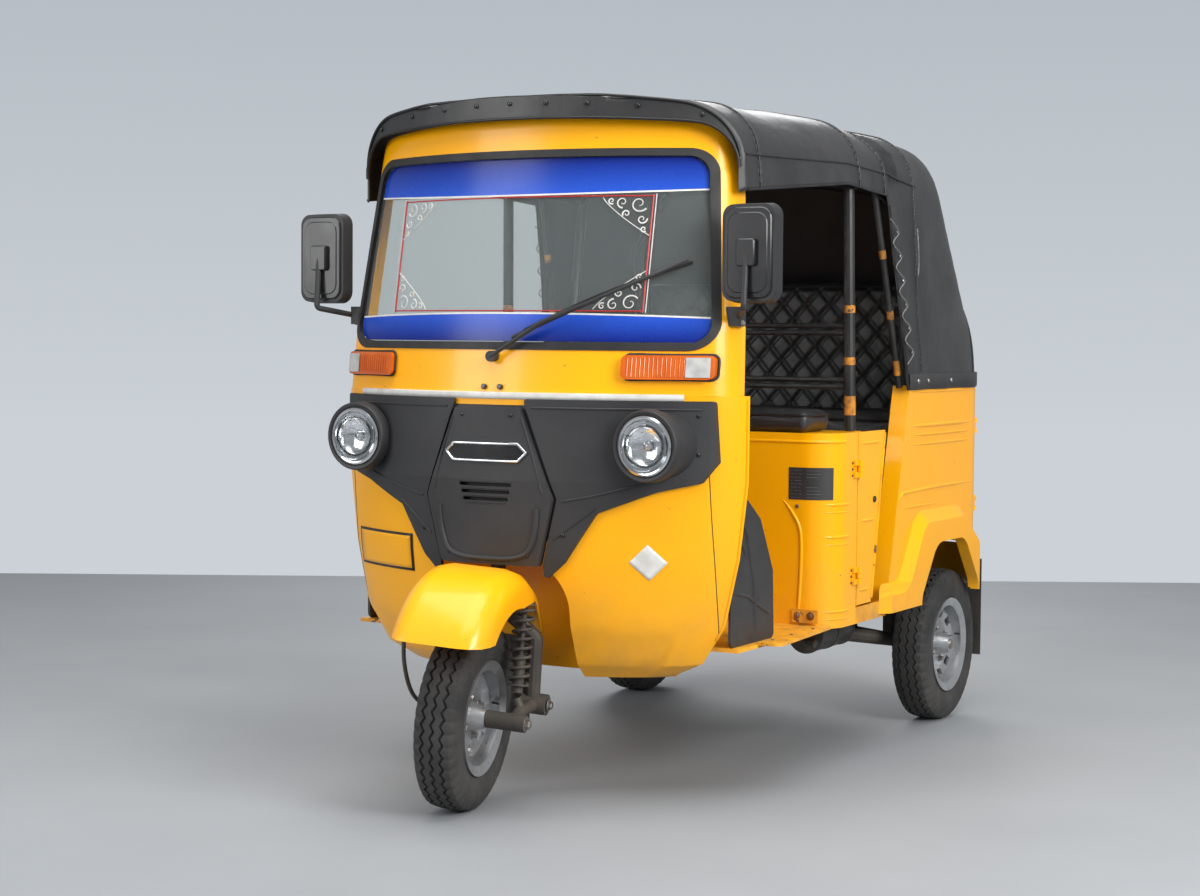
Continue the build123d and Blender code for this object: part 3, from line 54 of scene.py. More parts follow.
def material(name, colour, second=None, mottle=4.0, rough=(0.35, 0.5), metallic=0.0, coat=0.0, coat_rough=0.1,
             grain=None, bump=0.0, dirt=0.0, dirt_top=0.5, dirt_colour=(0.20, 0.165, 0.12), chips=0.0,
             chip_colour=(0.10, 0.06, 0.04), sheen=0.0, transmission=0.0, ior=1.45, alpha=1.0, emission=0.0,
             specular=0.5, stretch=(1, 1, 1), cells=False, soft_bump=0.0, soft_scale=12.0):
    """A procedural finish: mottled colour, road dirt low down, chipped spots, and a fine and a broad bump."""
    made = bpy.data.materials.new(name)
    made.use_nodes = True
    tree = made.node_tree
    nodes, links = tree.nodes, tree.links
    shader = nodes["Principled BSDF"]
    place = nodes.new("ShaderNodeTexCoord")
    stretched = nodes.new("ShaderNodeMapping")
    stretched.inputs["Scale"].default_value = stretch
    links.new(place.outputs["Object"], stretched.inputs["Vector"])

    def noisy(scale, detail=5.0, roughness=0.55):
        made_noise = nodes.new("ShaderNodeTexNoise")
        made_noise.inputs["Scale"].default_value = scale
        made_noise.inputs["Detail"].default_value = detail
        made_noise.inputs["Roughness"].default_value = roughness
        links.new(stretched.outputs["Vector"], made_noise.inputs["Vector"])
        return made_noise

    def ranged(source, low, high, to_low, to_high):
        made_range = nodes.new("ShaderNodeMapRange")
        made_range.inputs["From Min"].default_value = low
        made_range.inputs["From Max"].default_value = high
        made_range.inputs["To Min"].default_value = to_low
        made_range.inputs["To Max"].default_value = to_high
        links.new(source, made_range.inputs["Value"])
        return made_range.outputs["Result"]

    def mixed(factor, first, other):
        mix = nodes.new("ShaderNodeMix")
        mix.data_type = "RGBA"
        links.new(factor, mix.inputs["Factor"])
        for socket, value in ((mix.inputs["A"], first), (mix.inputs["B"], other)):
            if isinstance(value, tuple):
                socket.default_value = (*value, 1.0)
            else:
                links.new(value, socket)
        return mix.outputs["Result"]

    broad = noisy(mottle)
    second = second or tuple(0.82 * c for c in colour)
    shade = mixed(ranged(broad.outputs["Fac"], 0.38, 0.66, 0.0, 1.0), colour, second)
    height = nodes.new("ShaderNodeSeparateXYZ")
    links.new(place.outputs["Object"], height.inputs["Vector"])
    if chips:
        spots = noisy(26.0, 9.0, 0.7)
        shade = mixed(ranged(spots.outputs["Fac"], 0.72 - 0.12 * chips, 0.74 - 0.12 * chips, 0.0, 1.0), shade, chip_colour)
    if dirt:
        low = ranged(height.outputs["Z"], 0.06, dirt_top, 1.0, 0.0)
        smear = noisy(9.0, 8.0, 0.65)
        amount = nodes.new("ShaderNodeMath")
        amount.operation = "MULTIPLY"
        links.new(low, amount.inputs[0])
        links.new(ranged(smear.outputs["Fac"], 0.35, 0.7, 0.15 * dirt, dirt), amount.inputs[1])
        shade = mixed(amount.outputs["Value"], shade, dirt_colour)
    links.new(shade, shader.inputs["Base Color"])
    worn = noisy(mottle * 3.1, 6.0)
    links.new(ranged(worn.outputs["Fac"], 0.3, 0.7, rough[0], rough[1]), shader.inputs["Roughness"])
    shader.inputs["Metallic"].default_value = metallic
    shader.inputs["Coat Weight"].default_value = coat
    shader.inputs["Coat Roughness"].default_value = coat_rough
    shader.inputs["Sheen Weight"].default_value = sheen
    shader.inputs["Transmission Weight"].default_value = transmission
    shader.inputs["IOR"].default_value = ior
    shader.inputs["Alpha"].default_value = alpha
    shader.inputs["Specular IOR Level"].default_value = specular
    if emission:
        shader.inputs["Emission Color"].default_value = (*colour, 1.0)
        shader.inputs["Emission Strength"].default_value = emission
    last = None
    for strength, scale, distance in ((soft_bump, soft_scale, 0.012), (bump, grain or 300.0, 0.0012)):
        if not strength:
            continue
        if cells and distance < 0.01:
            texture = nodes.new("ShaderNodeTexVoronoi")
            texture.inputs["Scale"].default_value = scale
            links.new(stretched.outputs["Vector"], texture.inputs["Vector"])
            out = texture.outputs["Distance"]
        else:
            out = noisy(scale, 4.0).outputs["Fac"]
        relief = nodes.new("ShaderNodeBump")
        relief.inputs["Strength"].default_value = strength
        relief.inputs["Distance"].default_value = distance
        links.new(out, relief.inputs["Height"])
        if last is not None:
            links.new(last.outputs["Normal"], relief.inputs["Normal"])
        last = relief
    if last is not None:
        links.new(last.outputs["Normal"], shader.inputs["Normal"])
    return made


YELLOW = (1.0, 0.435, 0.001)
paint = material("paint_yellow", YELLOW, (0.97, 0.425, 0.002), mottle=1.6, rough=(0.26, 0.36), coat=0.25, coat_rough=0.1, specular=0.35,
                 grain=420.0, bump=0.04, soft_bump=0.05, soft_scale=7.0, dirt=0.55, dirt_top=0.62, chips=0.35)
paint_worn = material("paint_yellow_worn", YELLOW, (0.72, 0.30, 0.01), mottle=14.0, rough=(0.34, 0.6), coat=0.1,
                      grain=300.0, bump=0.1, dirt=0.8, dirt_top=0.7, chips=1.05)
vinyl = material("vinyl_black", (0.019, 0.019, 0.020), (0.032, 0.031, 0.031), mottle=2.2, rough=(0.34, 0.5), coat=0.2,
                 coat_rough=0.35, grain=900.0, bump=0.22, cells=True, soft_bump=0.28, soft_scale=9.0, dirt=0.0)
vinyl_faded = material("vinyl_faded", (0.040, 0.038, 0.036), (0.026, 0.026, 0.027), mottle=2.6, rough=(0.45, 0.62),
                       coat=0.10, coat_rough=0.4, grain=900.0, bump=0.2, cells=True, soft_bump=0.3, soft_scale=6.0)
piping = material("piping_black", (0.016, 0.016, 0.017), rough=(0.3, 0.42), grain=500.0, bump=0.1)
seat_vinyl = material("seat_vinyl", (0.020, 0.020, 0.021), (0.030, 0.030, 0.031), mottle=5.0, rough=(0.36, 0.5),
                      grain=800.0, bump=0.18, cells=True, coat=0.15, coat_rough=0.3, soft_bump=0.15, soft_scale=14.0)
plastic = material("plastic_black", (0.022, 0.022, 0.024), (0.032, 0.032, 0.034), mottle=3.5, rough=(0.44, 0.6),
                   grain=700.0, bump=0.15, dirt=0.35, dirt_top=1.1, dirt_colour=(0.09, 0.085, 0.08))
plastic_gloss = material("plastic_gloss", (0.012, 0.012, 0.013), (0.018, 0.018, 0.019), rough=(0.16, 0.26), grain=500.0,
                         bump=0.03)
black_paint = material("paint_black", (0.014, 0.014, 0.015), (0.03, 0.028, 0.026), mottle=9.0, rough=(0.28, 0.5),
                       grain=300.0, bump=0.08, dirt=0.5, dirt_top=0.5, chips=0.4, chip_colour=(0.12, 0.07, 0.045))
rubber = material("rubber_black", (0.014, 0.014, 0.014), (0.024, 0.023, 0.022), mottle=8.0, rough=(0.5, 0.7), grain=350.0,
                  bump=0.14, dirt=0.4, dirt_top=0.6)
tyre_rubber = material("tyre_rubber", (0.024, 0.024, 0.024), (0.045, 0.043, 0.041), mottle=12.0, rough=(0.62, 0.85),
                       grain=260.0, bump=0.25, dirt=0.35, dirt_top=0.3, dirt_colour=(0.13, 0.12, 0.11))
steel = material("wheel_silver", (0.56, 0.57, 0.58), (0.44, 0.45, 0.46), mottle=16.0, rough=(0.26, 0.42), metallic=0.85,
                 grain=300.0, bump=0.08, chips=0.25, chip_colour=(0.2, 0.14, 0.1))
bolt_steel = material("bolt_steel", (0.42, 0.41, 0.40), (0.24, 0.2, 0.17), mottle=40.0, rough=(0.3, 0.5), metallic=0.9,
                      grain=400.0, bump=0.08)
rusty = material("rusty_bolt", (0.16, 0.075, 0.035), (0.28, 0.17, 0.11), mottle=60.0, rough=(0.6, 0.85), metallic=0.4,
                 grain=400.0, bump=0.3)
chrome = material("chrome_trim", (0.72, 0.73, 0.74), (0.62, 0.63, 0.64), mottle=20.0, rough=(0.08, 0.2), metallic=1.0,
                  grain=300.0, bump=0.02)
underside = material("underside_steel", (0.05, 0.047, 0.045), (0.09, 0.078, 0.066), mottle=11.0, rough=(0.55, 0.8),
                     metallic=0.3, grain=180.0, bump=0.3, dirt=0.5, dirt_top=0.7)
cast = material("cast_alloy", (0.13, 0.13, 0.13), (0.07, 0.065, 0.06), mottle=15.0, rough=(0.5, 0.75), metallic=0.6,
                grain=150.0, bump=0.35, dirt=0.4, dirt_top=0.6)
# Glass: 95 % transmitted; the other 5 % shows this pale teal as diffuse colour, a painted reflection haze standing in
# for the glass's own reflection, which the IOR of 1.02 all but removes.
glass = material("screen_glass", (0.90, 0.97, 0.96), (0.88, 0.96, 0.95), rough=(0.0, 0.01), transmission=0.95, ior=1.02,
                 specular=0.8, mottle=1.0)
lens_clear = material("lens_clear", (0.95, 0.97, 0.98), (0.93, 0.95, 0.96), rough=(0.02, 0.06), transmission=1.0,
                      ior=1.25, mottle=3.0)
lens_amber = material("lens_amber", (0.66, 0.125, 0.004), (0.52, 0.085, 0.003), mottle=12.0, rough=(0.08, 0.16), coat=0.5,
                      coat_rough=0.05, grain=200.0, bump=0.1)
lens_red = material("lens_red", (0.42, 0.008, 0.006), (0.34, 0.006, 0.005), mottle=12.0, rough=(0.08, 0.16), coat=0.5,
                    coat_rough=0.05, grain=200.0, bump=0.1)
bowl = material("lamp_bowl", (0.78, 0.79, 0.80), (0.66, 0.68, 0.70), mottle=25.0, rough=(0.06, 0.16), metallic=1.0)
mirror_glass = material("mirror_glass", (0.85, 0.86, 0.87), (0.83, 0.84, 0.85), rough=(0.01, 0.03), metallic=1.0,
                        mottle=2.0)
white_paint = material("white_trim", (0.72, 0.71, 0.68), (0.58, 0.56, 0.52), mottle=22.0, rough=(0.35, 0.5), grain=300.0,
                       bump=0.05)
blue_band = material("blue_band", (0.045, 0.10, 0.30), (0.05, 0.13, 0.36), mottle=3.0, rough=(0.25, 0.35))
red_line = material("red_line", (0.50, 0.02, 0.02), (0.42, 0.02, 0.02), mottle=20.0, rough=(0.3, 0.4))
orange_worn = material("tape_orange", (0.62, 0.24, 0.02), (0.16, 0.07, 0.02), mottle=40.0, rough=(0.5, 0.7), grain=300.0, chips=1.0,
                       chip_colour=(0.015, 0.015, 0.015),
                       bump=0.2)
thread = material("thread_grey", (0.20, 0.195, 0.185), (0.12, 0.12, 0.115), mottle=200.0, rough=(0.7, 0.9), grain=900.0,
                  bump=0.3)
grip_rubber = material("grip_rubber", (0.018, 0.018, 0.019), rough=(0.55, 0.75), grain=500.0, bump=0.3, cells=True)

# ------------------------------------------------------------------ geometry helpers
trees = {}


def tree_of(name):
    """Search tree of a node's mesh, in the row frame at rest."""
    if name not in trees:
        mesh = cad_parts[name].data
        points = [vertex.co.copy() for vertex in mesh.vertices]
        trees[name] = BVHTree.FromPolygons(points, [tuple(face.vertices) for face in mesh.polygons])
    return trees[name]


def cast_ray(name, origin, direction, reach=6.0):
    """Where a ray meets a node: the point and the surface's normal, or None."""
    point, normal, _, _ = tree_of(name).ray_cast(Vector(origin), Vector(direction).normalized(), reach)
    if point is None:
        return None
    if normal.dot(Vector(direction)) > 0:
        normal = -normal
    return point, normal


def finish_mesh(name, mesh, finish, body, smooth=True, angle=40.0):
    """An object made from a mesh, with its finish, riding on a body."""
    piece = bpy.data.objects.new(name, mesh)
    scene.collection.objects.link(piece)
    finishes = finish if isinstance(finish, (list, tuple)) else [finish]
    for one in finishes:
        mesh.materials.append(one)
    if smooth:
        mesh.shade_smooth()
        mesh.set_sharp_from_angle(angle=math.radians(angle))
    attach(piece, body)
    return piece


class Build:
    """Geometry collected for one piece."""

    def __init__(self):
        self.mesh = bmesh.new()

    def add_faces(self, points, faces, place=None, index=0):
        made = [self.mesh.verts.new(place @ Vector(point) if place is not None else Vector(point)) for point in points]
        for face in faces:
            try:
                polygon = self.mesh.faces.new([made[i] for i in face])
                polygon.material_index = index
            except ValueError:
                pass
        return made

    def grid(self, rows, closed_u=False, closed_v=False, index=0, flip=False):
        """Quads between rows of points."""
        count = len(rows[0])
        made = [[self.mesh.verts.new(Vector(point)) for point in row] for row in rows]
        for r in range(len(rows) if closed_v else len(rows) - 1):
            for c in range(count if closed_u else count - 1):
                a, b = made[r][c], made[r][(c + 1) % count]
                d, e = made[(r + 1) % len(rows)][(c + 1) % count], made[(r + 1) % len(rows)][c]
                corners = [a, b, d, e] if not flip else [e, d, b, a]
                if len({id(v) for v in corners}) == 4:
                    polygon = self.mesh.faces.new(corners)
                    polygon.material_index = index
        return made

    def tube(self, points, radius, sides=10, closed=False, index=0, squash=1.0, caps=True):
        """A round bar along points; radius is a number or one per point."""
        points = [Vector(point) for point in points]
        count = len(points)
        radii = radius if isinstance(radius, (list, tuple)) else [radius] * count
        rows = []
        normal = None
        for i, point in enumerate(points):
            ahead = points[(i + 1) % count] if closed or i < count - 1 else point
            behind = points[i - 1] if closed or i > 0 else point
            along = (ahead - behind).normalized()
            if normal is None:
                normal = along.orthogonal().normalized()
            normal = (normal - along * normal.dot(along)).normalized()
            across = along.cross(normal)
            rows.append([point + (normal * math.cos(TAU * k / sides) + across * math.sin(TAU * k / sides) * squash)
                         * radii[i] for k in range(sides)])
        made = self.grid(rows, closed_u=True, closed_v=closed, index=index, flip=True)
        if not closed and caps:
            for ring, turn in ((made[0], 1), (made[-1], -1)):
                polygon = self.mesh.faces.new(ring[::turn])
                polygon.material_index = index
        return made

    def lathe(self, profile, place, sides=32, index=0, closed=False, caps=False):
        """A profile of (along, radius) turned about the place's own X axis."""
        rows = []
        for along, radius in profile:
            rows.append([place @ Vector((along, radius * math.cos(TAU * k / sides), radius * math.sin(TAU * k / sides)))
                         for k in range(sides)])
        made = self.grid(rows, closed_u=True, closed_v=closed, index=index)
        if caps:
            for ring, turn in ((made[0], -1), (made[-1], 1)):
                polygon = self.mesh.faces.new(ring[::turn])
                polygon.material_index = index
        return made

    def prism(self, outline, depth, place, bevel=0.0, index=0):
        """An outline in the place's XY plane, thickened along its Z, with its front edge bevelled."""
        count = len(outline)
        middle = Vector((sum(p[0] for p in outline) / count, sum(p[1] for p in outline) / count, 0))
        rows = [[Vector((x, y, 0)) for x, y in outline]]
        if bevel:
            rows.append([Vector((x, y, depth - bevel)) for x, y in outline])
            inner = []
            for i in range(count):
                a, p, b = Vector((*outline[i - 1], 0)), Vector((*outline[i], 0)), Vector((*outline[(i + 1) % count], 0))
                inward = ((b - a).normalized()).cross(Vector((0, 0, 1)))
                if inward.dot(middle - p) < 0:
                    inward = -inward
                inner.append(p + inward * bevel + Vector((0, 0, depth)))
            rows.append(inner)
        else:
            rows.append([Vector((x, y, depth)) for x, y in outline])
        made = self.grid([[place @ point for point in row] for row in rows], closed_u=True, index=index)
        for ring, turn in ((made[0], -1), (made[-1], 1)):
            polygon = self.mesh.faces.new(ring[::turn])
            polygon.material_index = index
        return made

    def ball(self, centre, radius, rings=8, sides=12, index=0, scale=(1, 1, 1), place=None):
        rows = []
        for r in range(rings + 1):
            turn = math.pi * r / rings
            rows.append([(scale[0] * radius * math.sin(turn) * math.cos(TAU * k / sides),
                          scale[1] * radius * math.sin(turn) * math.sin(TAU * k / sides),
                          scale[2] * radius * math.cos(turn)) for k in range(sides)])
        lift = place if place is not None else Matrix.Translation(Vector(centre))
        self.grid([[lift @ Vector(point) for point in row] for row in rows], closed_u=True, index=index, flip=True)

    def piece(self, name, finish, body, slot, smooth=True, angle=40.0, weld=0.00002):
        bmesh.ops.remove_doubles(self.mesh, verts=self.mesh.verts, dist=weld)
        bmesh.ops.recalc_face_normals(self.mesh, faces=self.mesh.faces)
        mesh = bpy.data.meshes.new(name)
        self.mesh.to_mesh(mesh)
        self.mesh.free()
        return finish_mesh(name, mesh, finish, body, smooth, angle)


def place_on(point, normal, up=(0, 0, 1), lift=0.0):
    """A frame at a surface: Z out along the normal, Y as near to up as it can be."""
    out = Vector(normal).normalized()
    across = Vector(up).cross(out)
    if across.length < 1e-6:
        across = Vector((1, 0, 0))
    across.normalize()
    upward = out.cross(across)
    made = Matrix((across, upward, out)).transposed().to_4x4()
    made.translation = Vector(point) + out * lift
    return made


def smooth_path(points, steps=8, closed=False):
    """Catmull-Rom points through the given ones."""
    points = [Vector(point) for point in points]
    out = []
    count = len(points)
    for i in range(count if closed else count - 1):
        p1, p2 = points[i], points[(i + 1) % count]
        p0 = points[i - 1] if closed or i > 0 else p1
        p3 = points[(i + 2) % count] if closed or i < count - 2 else p2
        for step in range(steps):
            t = step / steps
            out.append(0.5 * ((2 * p1) + (p2 - p0) * t + (2 * p0 - 5 * p1 + 4 * p2 - p3) * t * t
                              + (3 * p1 - p0 - 3 * p2 + p3) * t * t * t))
    if not closed:
        out.append(points[-1])
    return out


def rounded_rect(width, height, radius, steps=5):
    """Points round a rectangle with round corners, in order."""
    out = []
    for cx, cy, start in ((width / 2 - radius, height / 2 - radius, 0), (-width / 2 + radius, height / 2 - radius, 90),
                          (-width / 2 + radius, -height / 2 + radius, 180), (width / 2 - radius, -height / 2 + radius, 270)):
        for k in range(steps + 1):
            turn = math.radians(start + 90 * k / steps)
            out.append((cx + radius * math.cos(turn), cy + radius * math.sin(turn)))
    return out


def hexagon(radius, turn=0.0):
    return [(radius * math.cos(TAU * k / 6 + turn), radius * math.sin(TAU * k / 6 + turn)) for k in range(6)]


def bolt(build, point, normal, radius=0.006, height=0.005, washer=True, index=0, turn=0.3):
    """A hexagon head on its washer."""
    place = place_on(point, normal)
    if washer:
        build.prism([(1.55 * radius * math.cos(TAU * k / 20), 1.55 * radius * math.sin(TAU * k / 20)) for k in range(20)],
                    0.0016, place, 0.0004, index)
        place = place_on(point, normal, lift=0.0016)
    build.prism(hexagon(radius, turn), height, place, 0.15 * radius, index)


def screw(build, point, normal, radius=0.006, index=0):
    """A domed head with a cross recess left as two shallow grooves."""
    place = place_on(point, normal)
    rows = []
    for share, lift in ((1.0, 0.0), (1.0, 0.25), (0.86, 0.5), (0.6, 0.68), (0.3, 0.76)):
        rows.append([place @ Vector((share * radius * math.cos(TAU * k / 16), share * radius * math.sin(TAU * k / 16),
                                     lift * radius * (0.8 if share < 0.5 and k % 4 == 0 else 1.0))) for k in range(16)])
    made = build.grid(rows, closed_u=True, index=index)
    polygon = build.mesh.faces.new(made[-1])
    polygon.material_index = index


def skin(name, target, rows, direction, lift, finish, body, slot, thickness=0.0, angle=40.0, start=2.5):
    """A patch laid on a node: rows of start points are cast along a direction and lifted off the surface."""
    build = Build()
    laid = []
    for row in rows:
        line = []
        for point in row:
            found = cast_ray(target, Vector(point) - Vector(direction) * start, direction)
            line.append(found[0] + found[1] * lift if found else None)
        laid.append(line)
    laid = [row for row in laid if all(point is not None for point in row)]
    build.grid(laid)
    piece = build.piece(name, finish, body, slot, angle=angle)
    if thickness:
        solid = piece.modifiers.new("thick", "SOLIDIFY")
        solid.thickness = thickness
        solid.offset = -1.0
    return piece


def dress(names, finish):
    """Gives carried-over nodes their finish."""
    for name in names:
        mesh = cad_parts[name].data
        mesh.materials.clear()
        mesh.materials.append(finish)


def lerp(a, b, t):
    return a + (b - a) * t

# ------------------------------------------------------------------ camera, floor, lights
CAMERA_AT = Vector((3.0669, -5.7081, 1.2238))
YAW, PITCH, ROLL = 0.51387, 0.05051, 0.00821
ahead = Vector((-math.sin(YAW) * math.cos(PITCH), math.cos(YAW) * math.cos(PITCH), -math.sin(PITCH)))
right = ahead.cross(Vector((0, 0, 1))).normalized()
above = right.cross(ahead)
camera_right = right * math.cos(ROLL) + above * math.sin(ROLL)
camera_up = above * math.cos(ROLL) - right * math.sin(ROLL)
camera_data = bpy.data.cameras.new("camera")
camera_data.sensor_width = 36.0
camera_data.lens = 65.714
camera_data.clip_end = 100.0
camera = bpy.data.objects.new("camera", camera_data)
turned = Matrix((camera_right, camera_up, -ahead)).transposed().to_4x4()
turned.translation = CAMERA_AT
camera.matrix_world = turned
scene.collection.objects.link(camera)
scene.camera = camera


def stage_material(name, colour, second, scale, rough):
    """A pale matt finish with slow mottling."""
    made = bpy.data.materials.new(name)
    made.use_nodes = True
    nodes, links = made.node_tree.nodes, made.node_tree.links
    shader = nodes["Principled BSDF"]
    texture = nodes.new("ShaderNodeTexNoise")
    texture.inputs["Scale"].default_value = scale
    texture.inputs["Detail"].default_value = 6.0
    place = nodes.new("ShaderNodeTexCoord")
    links.new(place.outputs["Object"], texture.inputs["Vector"])
    mix = nodes.new("ShaderNodeMix")
    mix.data_type = "RGBA"
    mix.inputs["A"].default_value = (*colour, 1)
    mix.inputs["B"].default_value = (*second, 1)
    links.new(texture.outputs["Fac"], mix.inputs["Factor"])
    links.new(mix.outputs["Result"], shader.inputs["Base Color"])
    shader.inputs["Roughness"].default_value = rough
    shader.inputs["Specular IOR Level"].default_value = 0.25
    return made


FLOOR_REACH = 14.0
FLOOR_END = 11.1            # the floor's far edge, this far ahead of the camera
level_ahead = Vector((-math.sin(YAW), math.cos(YAW), 0))
level_right = Vector((math.cos(YAW), math.sin(YAW), 0))
under_camera = Vector((CAMERA_AT.x, CAMERA_AT.y, 0))
floor_build = Build()
floor_build.grid([[under_camera + level_ahead * far + level_right * x for x in (-FLOOR_REACH, 0, FLOOR_REACH)]
                  for far in (-8.0, 2.0, FLOOR_END)])
floor_mesh = bpy.data.meshes.new("floor")
floor_build.mesh.to_mesh(floor_mesh)
floor_build.mesh.free()
floor = bpy.data.objects.new("floor", floor_mesh)
floor_mesh.materials.append(stage_material("floor_concrete", (0.27, 0.285, 0.30), (0.33, 0.345, 0.36), 1.3, 0.6))
scene.collection.objects.link(floor)

world = bpy.data.worlds.new("studio")
scene.world = world
world.use_nodes = True
background = world.node_tree.nodes["Background"]
background.inputs["Strength"].default_value = 1.0
world_nodes, world_links = world.node_tree.nodes, world.node_tree.links
gradient_place = world_nodes.new("ShaderNodeTexCoord")
split = world_nodes.new("ShaderNodeSeparateXYZ")
world_links.new(gradient_place.outputs["Generated"], split.inputs["Vector"])
span = world_nodes.new("ShaderNodeMapRange")
span.inputs["From Min"].default_value = -0.05
span.inputs["From Max"].default_value = 0.35
world_links.new(split.outputs["Z"], span.inputs["Value"])
fade = world_nodes.new("ShaderNodeMix")
fade.data_type = "RGBA"
fade.inputs["A"].default_value = (0.60, 0.64, 0.68, 1)
fade.inputs["B"].default_value = (0.34, 0.38, 0.42, 1)
world_links.new(span.outputs["Result"], fade.inputs["Factor"])
lit = world_nodes.new("ShaderNodeMix")
lit.data_type = "RGBA"
lit.inputs["A"].default_value = (0.37, 0.385, 0.40, 1)
seen = world_nodes.new("ShaderNodeLightPath")
world_links.new(seen.outputs["Is Camera Ray"], lit.inputs["Factor"])
world_links.new(fade.outputs["Result"], lit.inputs["B"])
world_links.new(lit.outputs["Result"], background.inputs["Color"])


def area_light(name, at, target, size, energy, colour=(1, 1, 1), height=None):
    """A soft box at a place, facing a target."""
    data = bpy.data.lights.new(name, "AREA")
    data.energy = energy
    data.color = colour
    data.size = size
    if height:
        data.shape = "RECTANGLE"
        data.size_y = height
    light = bpy.data.objects.new(name, data)
    light.location = at
    light.rotation_mode = "QUATERNION"
    light.rotation_quaternion = (Vector(target) - Vector(at)).to_track_quat("-Z", "Y")
    scene.collection.objects.link(light)


area_light("overhead", (0.8, -1.2, 5.2), (0, 0, 0.6), 4.5, 260)
area_light("key_left", (5.4, -2.2, 3.2), (0, 0.1, 0.8), 2.6, 310)
area_light("fill_front", (-3.2, -5.2, 2.6), (0, -0.4, 0.9), 2.6, 130)
area_light("rim_back", (-2.5, 5.0, 3.6), (0, 0.4, 1.0), 3.0, 120)

# ------------------------------------------------------------------ finishes of the carried-over nodes
dress(["front_shell", "windscreen_surround", "wheel_tunnel", "rear_body", "arch_flares", "tail_door", "seat_box",
       "half_door_left", "half_door_right", "front_mudguard"], paint)
dress(["floor_pan", "side_steps"], paint_worn)
dress(["bench_base", "canopy_frame", "chassis_frame", "silencer", "handlebar"], black_paint)
dress(["canopy"], vinyl)
dress(["passenger_cushion", "passenger_backrest", "driver_seat"], seat_vinyl)
dress(["fascia_centre", "fascia_wings", "dashboard", "footwell_guards", "mirror_heads", "mirror_arms", "wiper"], plastic)
dress(["windscreen_glass"], glass)
dress(["windscreen_seal", "rear_flaps", "front_flap"], rubber)
dress(["headlamps"], lens_clear)
dress(["turn_signals"], lens_amber)
dress(["tail_lamps"], lens_red)
dress(["rear_tyre_left", "rear_tyre_right", "front_tyre"], tyre_rubber)
dress(["rear_rim_left", "rear_rim_right", "front_rim"], steel)
dress(["engine_block"], cast)
dress(["rear_suspension", "fork", "front_spring"], underside)

# ------------------------------------------------------------------ vinyl top
LOW_EDGE = [(-0.90, 1.600), (-0.62, 1.600), (0.06, 1.660), (0.366, 1.645), (0.49, 1.070), (1.40, 1.070)]
SPINE_Z = 1.30
FAN_Y = 0.72
FRONT_Y = -0.58
ACROSS = 76                 # points from the crown down one side
BOWS = [-0.62, 0.148, 0.60, 0.79]


def along_line(line, x):
    """Piecewise straight value through (x, value) pairs."""
    for (x0, v0), (x1, v1) in zip(line, line[1:]):
        if x <= x1:
            return lerp(v0, v1, max(0.0, (x - x0) / (x1 - x0)))
    return line[-1][1]


def vinyl_shift(point, normal):
    """How far the cloth stands in from the tight shape: sags between the bows and slack folds."""
    sag = 0.0
    for y0, y1 in zip(BOWS, BOWS[1:]):
        if y0 < point.y < y1:
            sag = 0.010 * math.sin(math.pi * (point.y - y0) / (y1 - y0)) ** 2 * min(1.0, (y1 - y0) / 0.4)
    top = max(0.0, min(1.0, (normal.z - 0.35) / 0.4))
    slack = 0.0022 * noise.noise(Vector((point.x * 5, point.y * 7, point.z * 5)))
    slack += 0.0012 * noise.noise(Vector((point.x * 14, point.y * 17 + 4, point.z * 9)))
    if point.y > 0.4 and normal.z < 0.6:
        fold = 0.5 + 0.5 * noise.noise(Vector((point.y * 2.0, point.z * 3.0, point.x)))
        slack += 0.0035 * fold * math.sin(26.0 * point.y + 9.0 * point.z + 4.0 * point.x)
        slack -= 0.004
    if 1.58 < point.z < 1.70 and point.y < 0.4 and normal.z < 0.5:
        slack += 0.0016 * math.sin(34.0 * point.y + 3.0 * math.sin(7.0 * point.y))
    return -sag * top - 0.0015 + min(slack, 0.002)


def lifted(found, lift=0.0):
    point, normal = found
    return point + normal * (vinyl_shift(point, normal) + lift), normal


def roof_low(y, sign=1):
    """Angle down from upright at which a side's lower edge stands."""
    z = along_line(LOW_EDGE, y)
    found = cast_ray("canopy", (sign * 1.4, y, z + 0.002), (-sign, 0, 0))
    return math.atan2(abs(found[0].x), z + 0.002 - SPINE_Z)


def roof_at(y, turn, lift=0.0):
    """A place on the top: its station and the angle from upright."""
    out = Vector((math.sin(turn), 0, math.cos(turn)))
    return lifted(cast_ray("canopy", Vector((0, y, SPINE_Z)) + out * 1.4, -out), lift)


def fan_at(around, down, lift=0.0):
    """A place on the rear: the angle round from the left side and the angle from upright."""
    out = Vector((math.sin(down) * math.cos(around), math.sin(down) * math.sin(around), math.cos(down)))
    found = cast_ray("canopy", Vector((0, FAN_Y, SPINE_Z)) + out * 1.6, -out)
    return lifted(found, lift)


def fan_low(around, height=1.072):
    out = Vector((math.cos(around), math.sin(around), 0))
    found = cast_ray("canopy", Vector((0, FAN_Y, height)) + out * 1.6, -out)
    reach = (found[0] - Vector((0, FAN_Y, height))).length
    return math.atan2(reach, height - SPINE_Z)


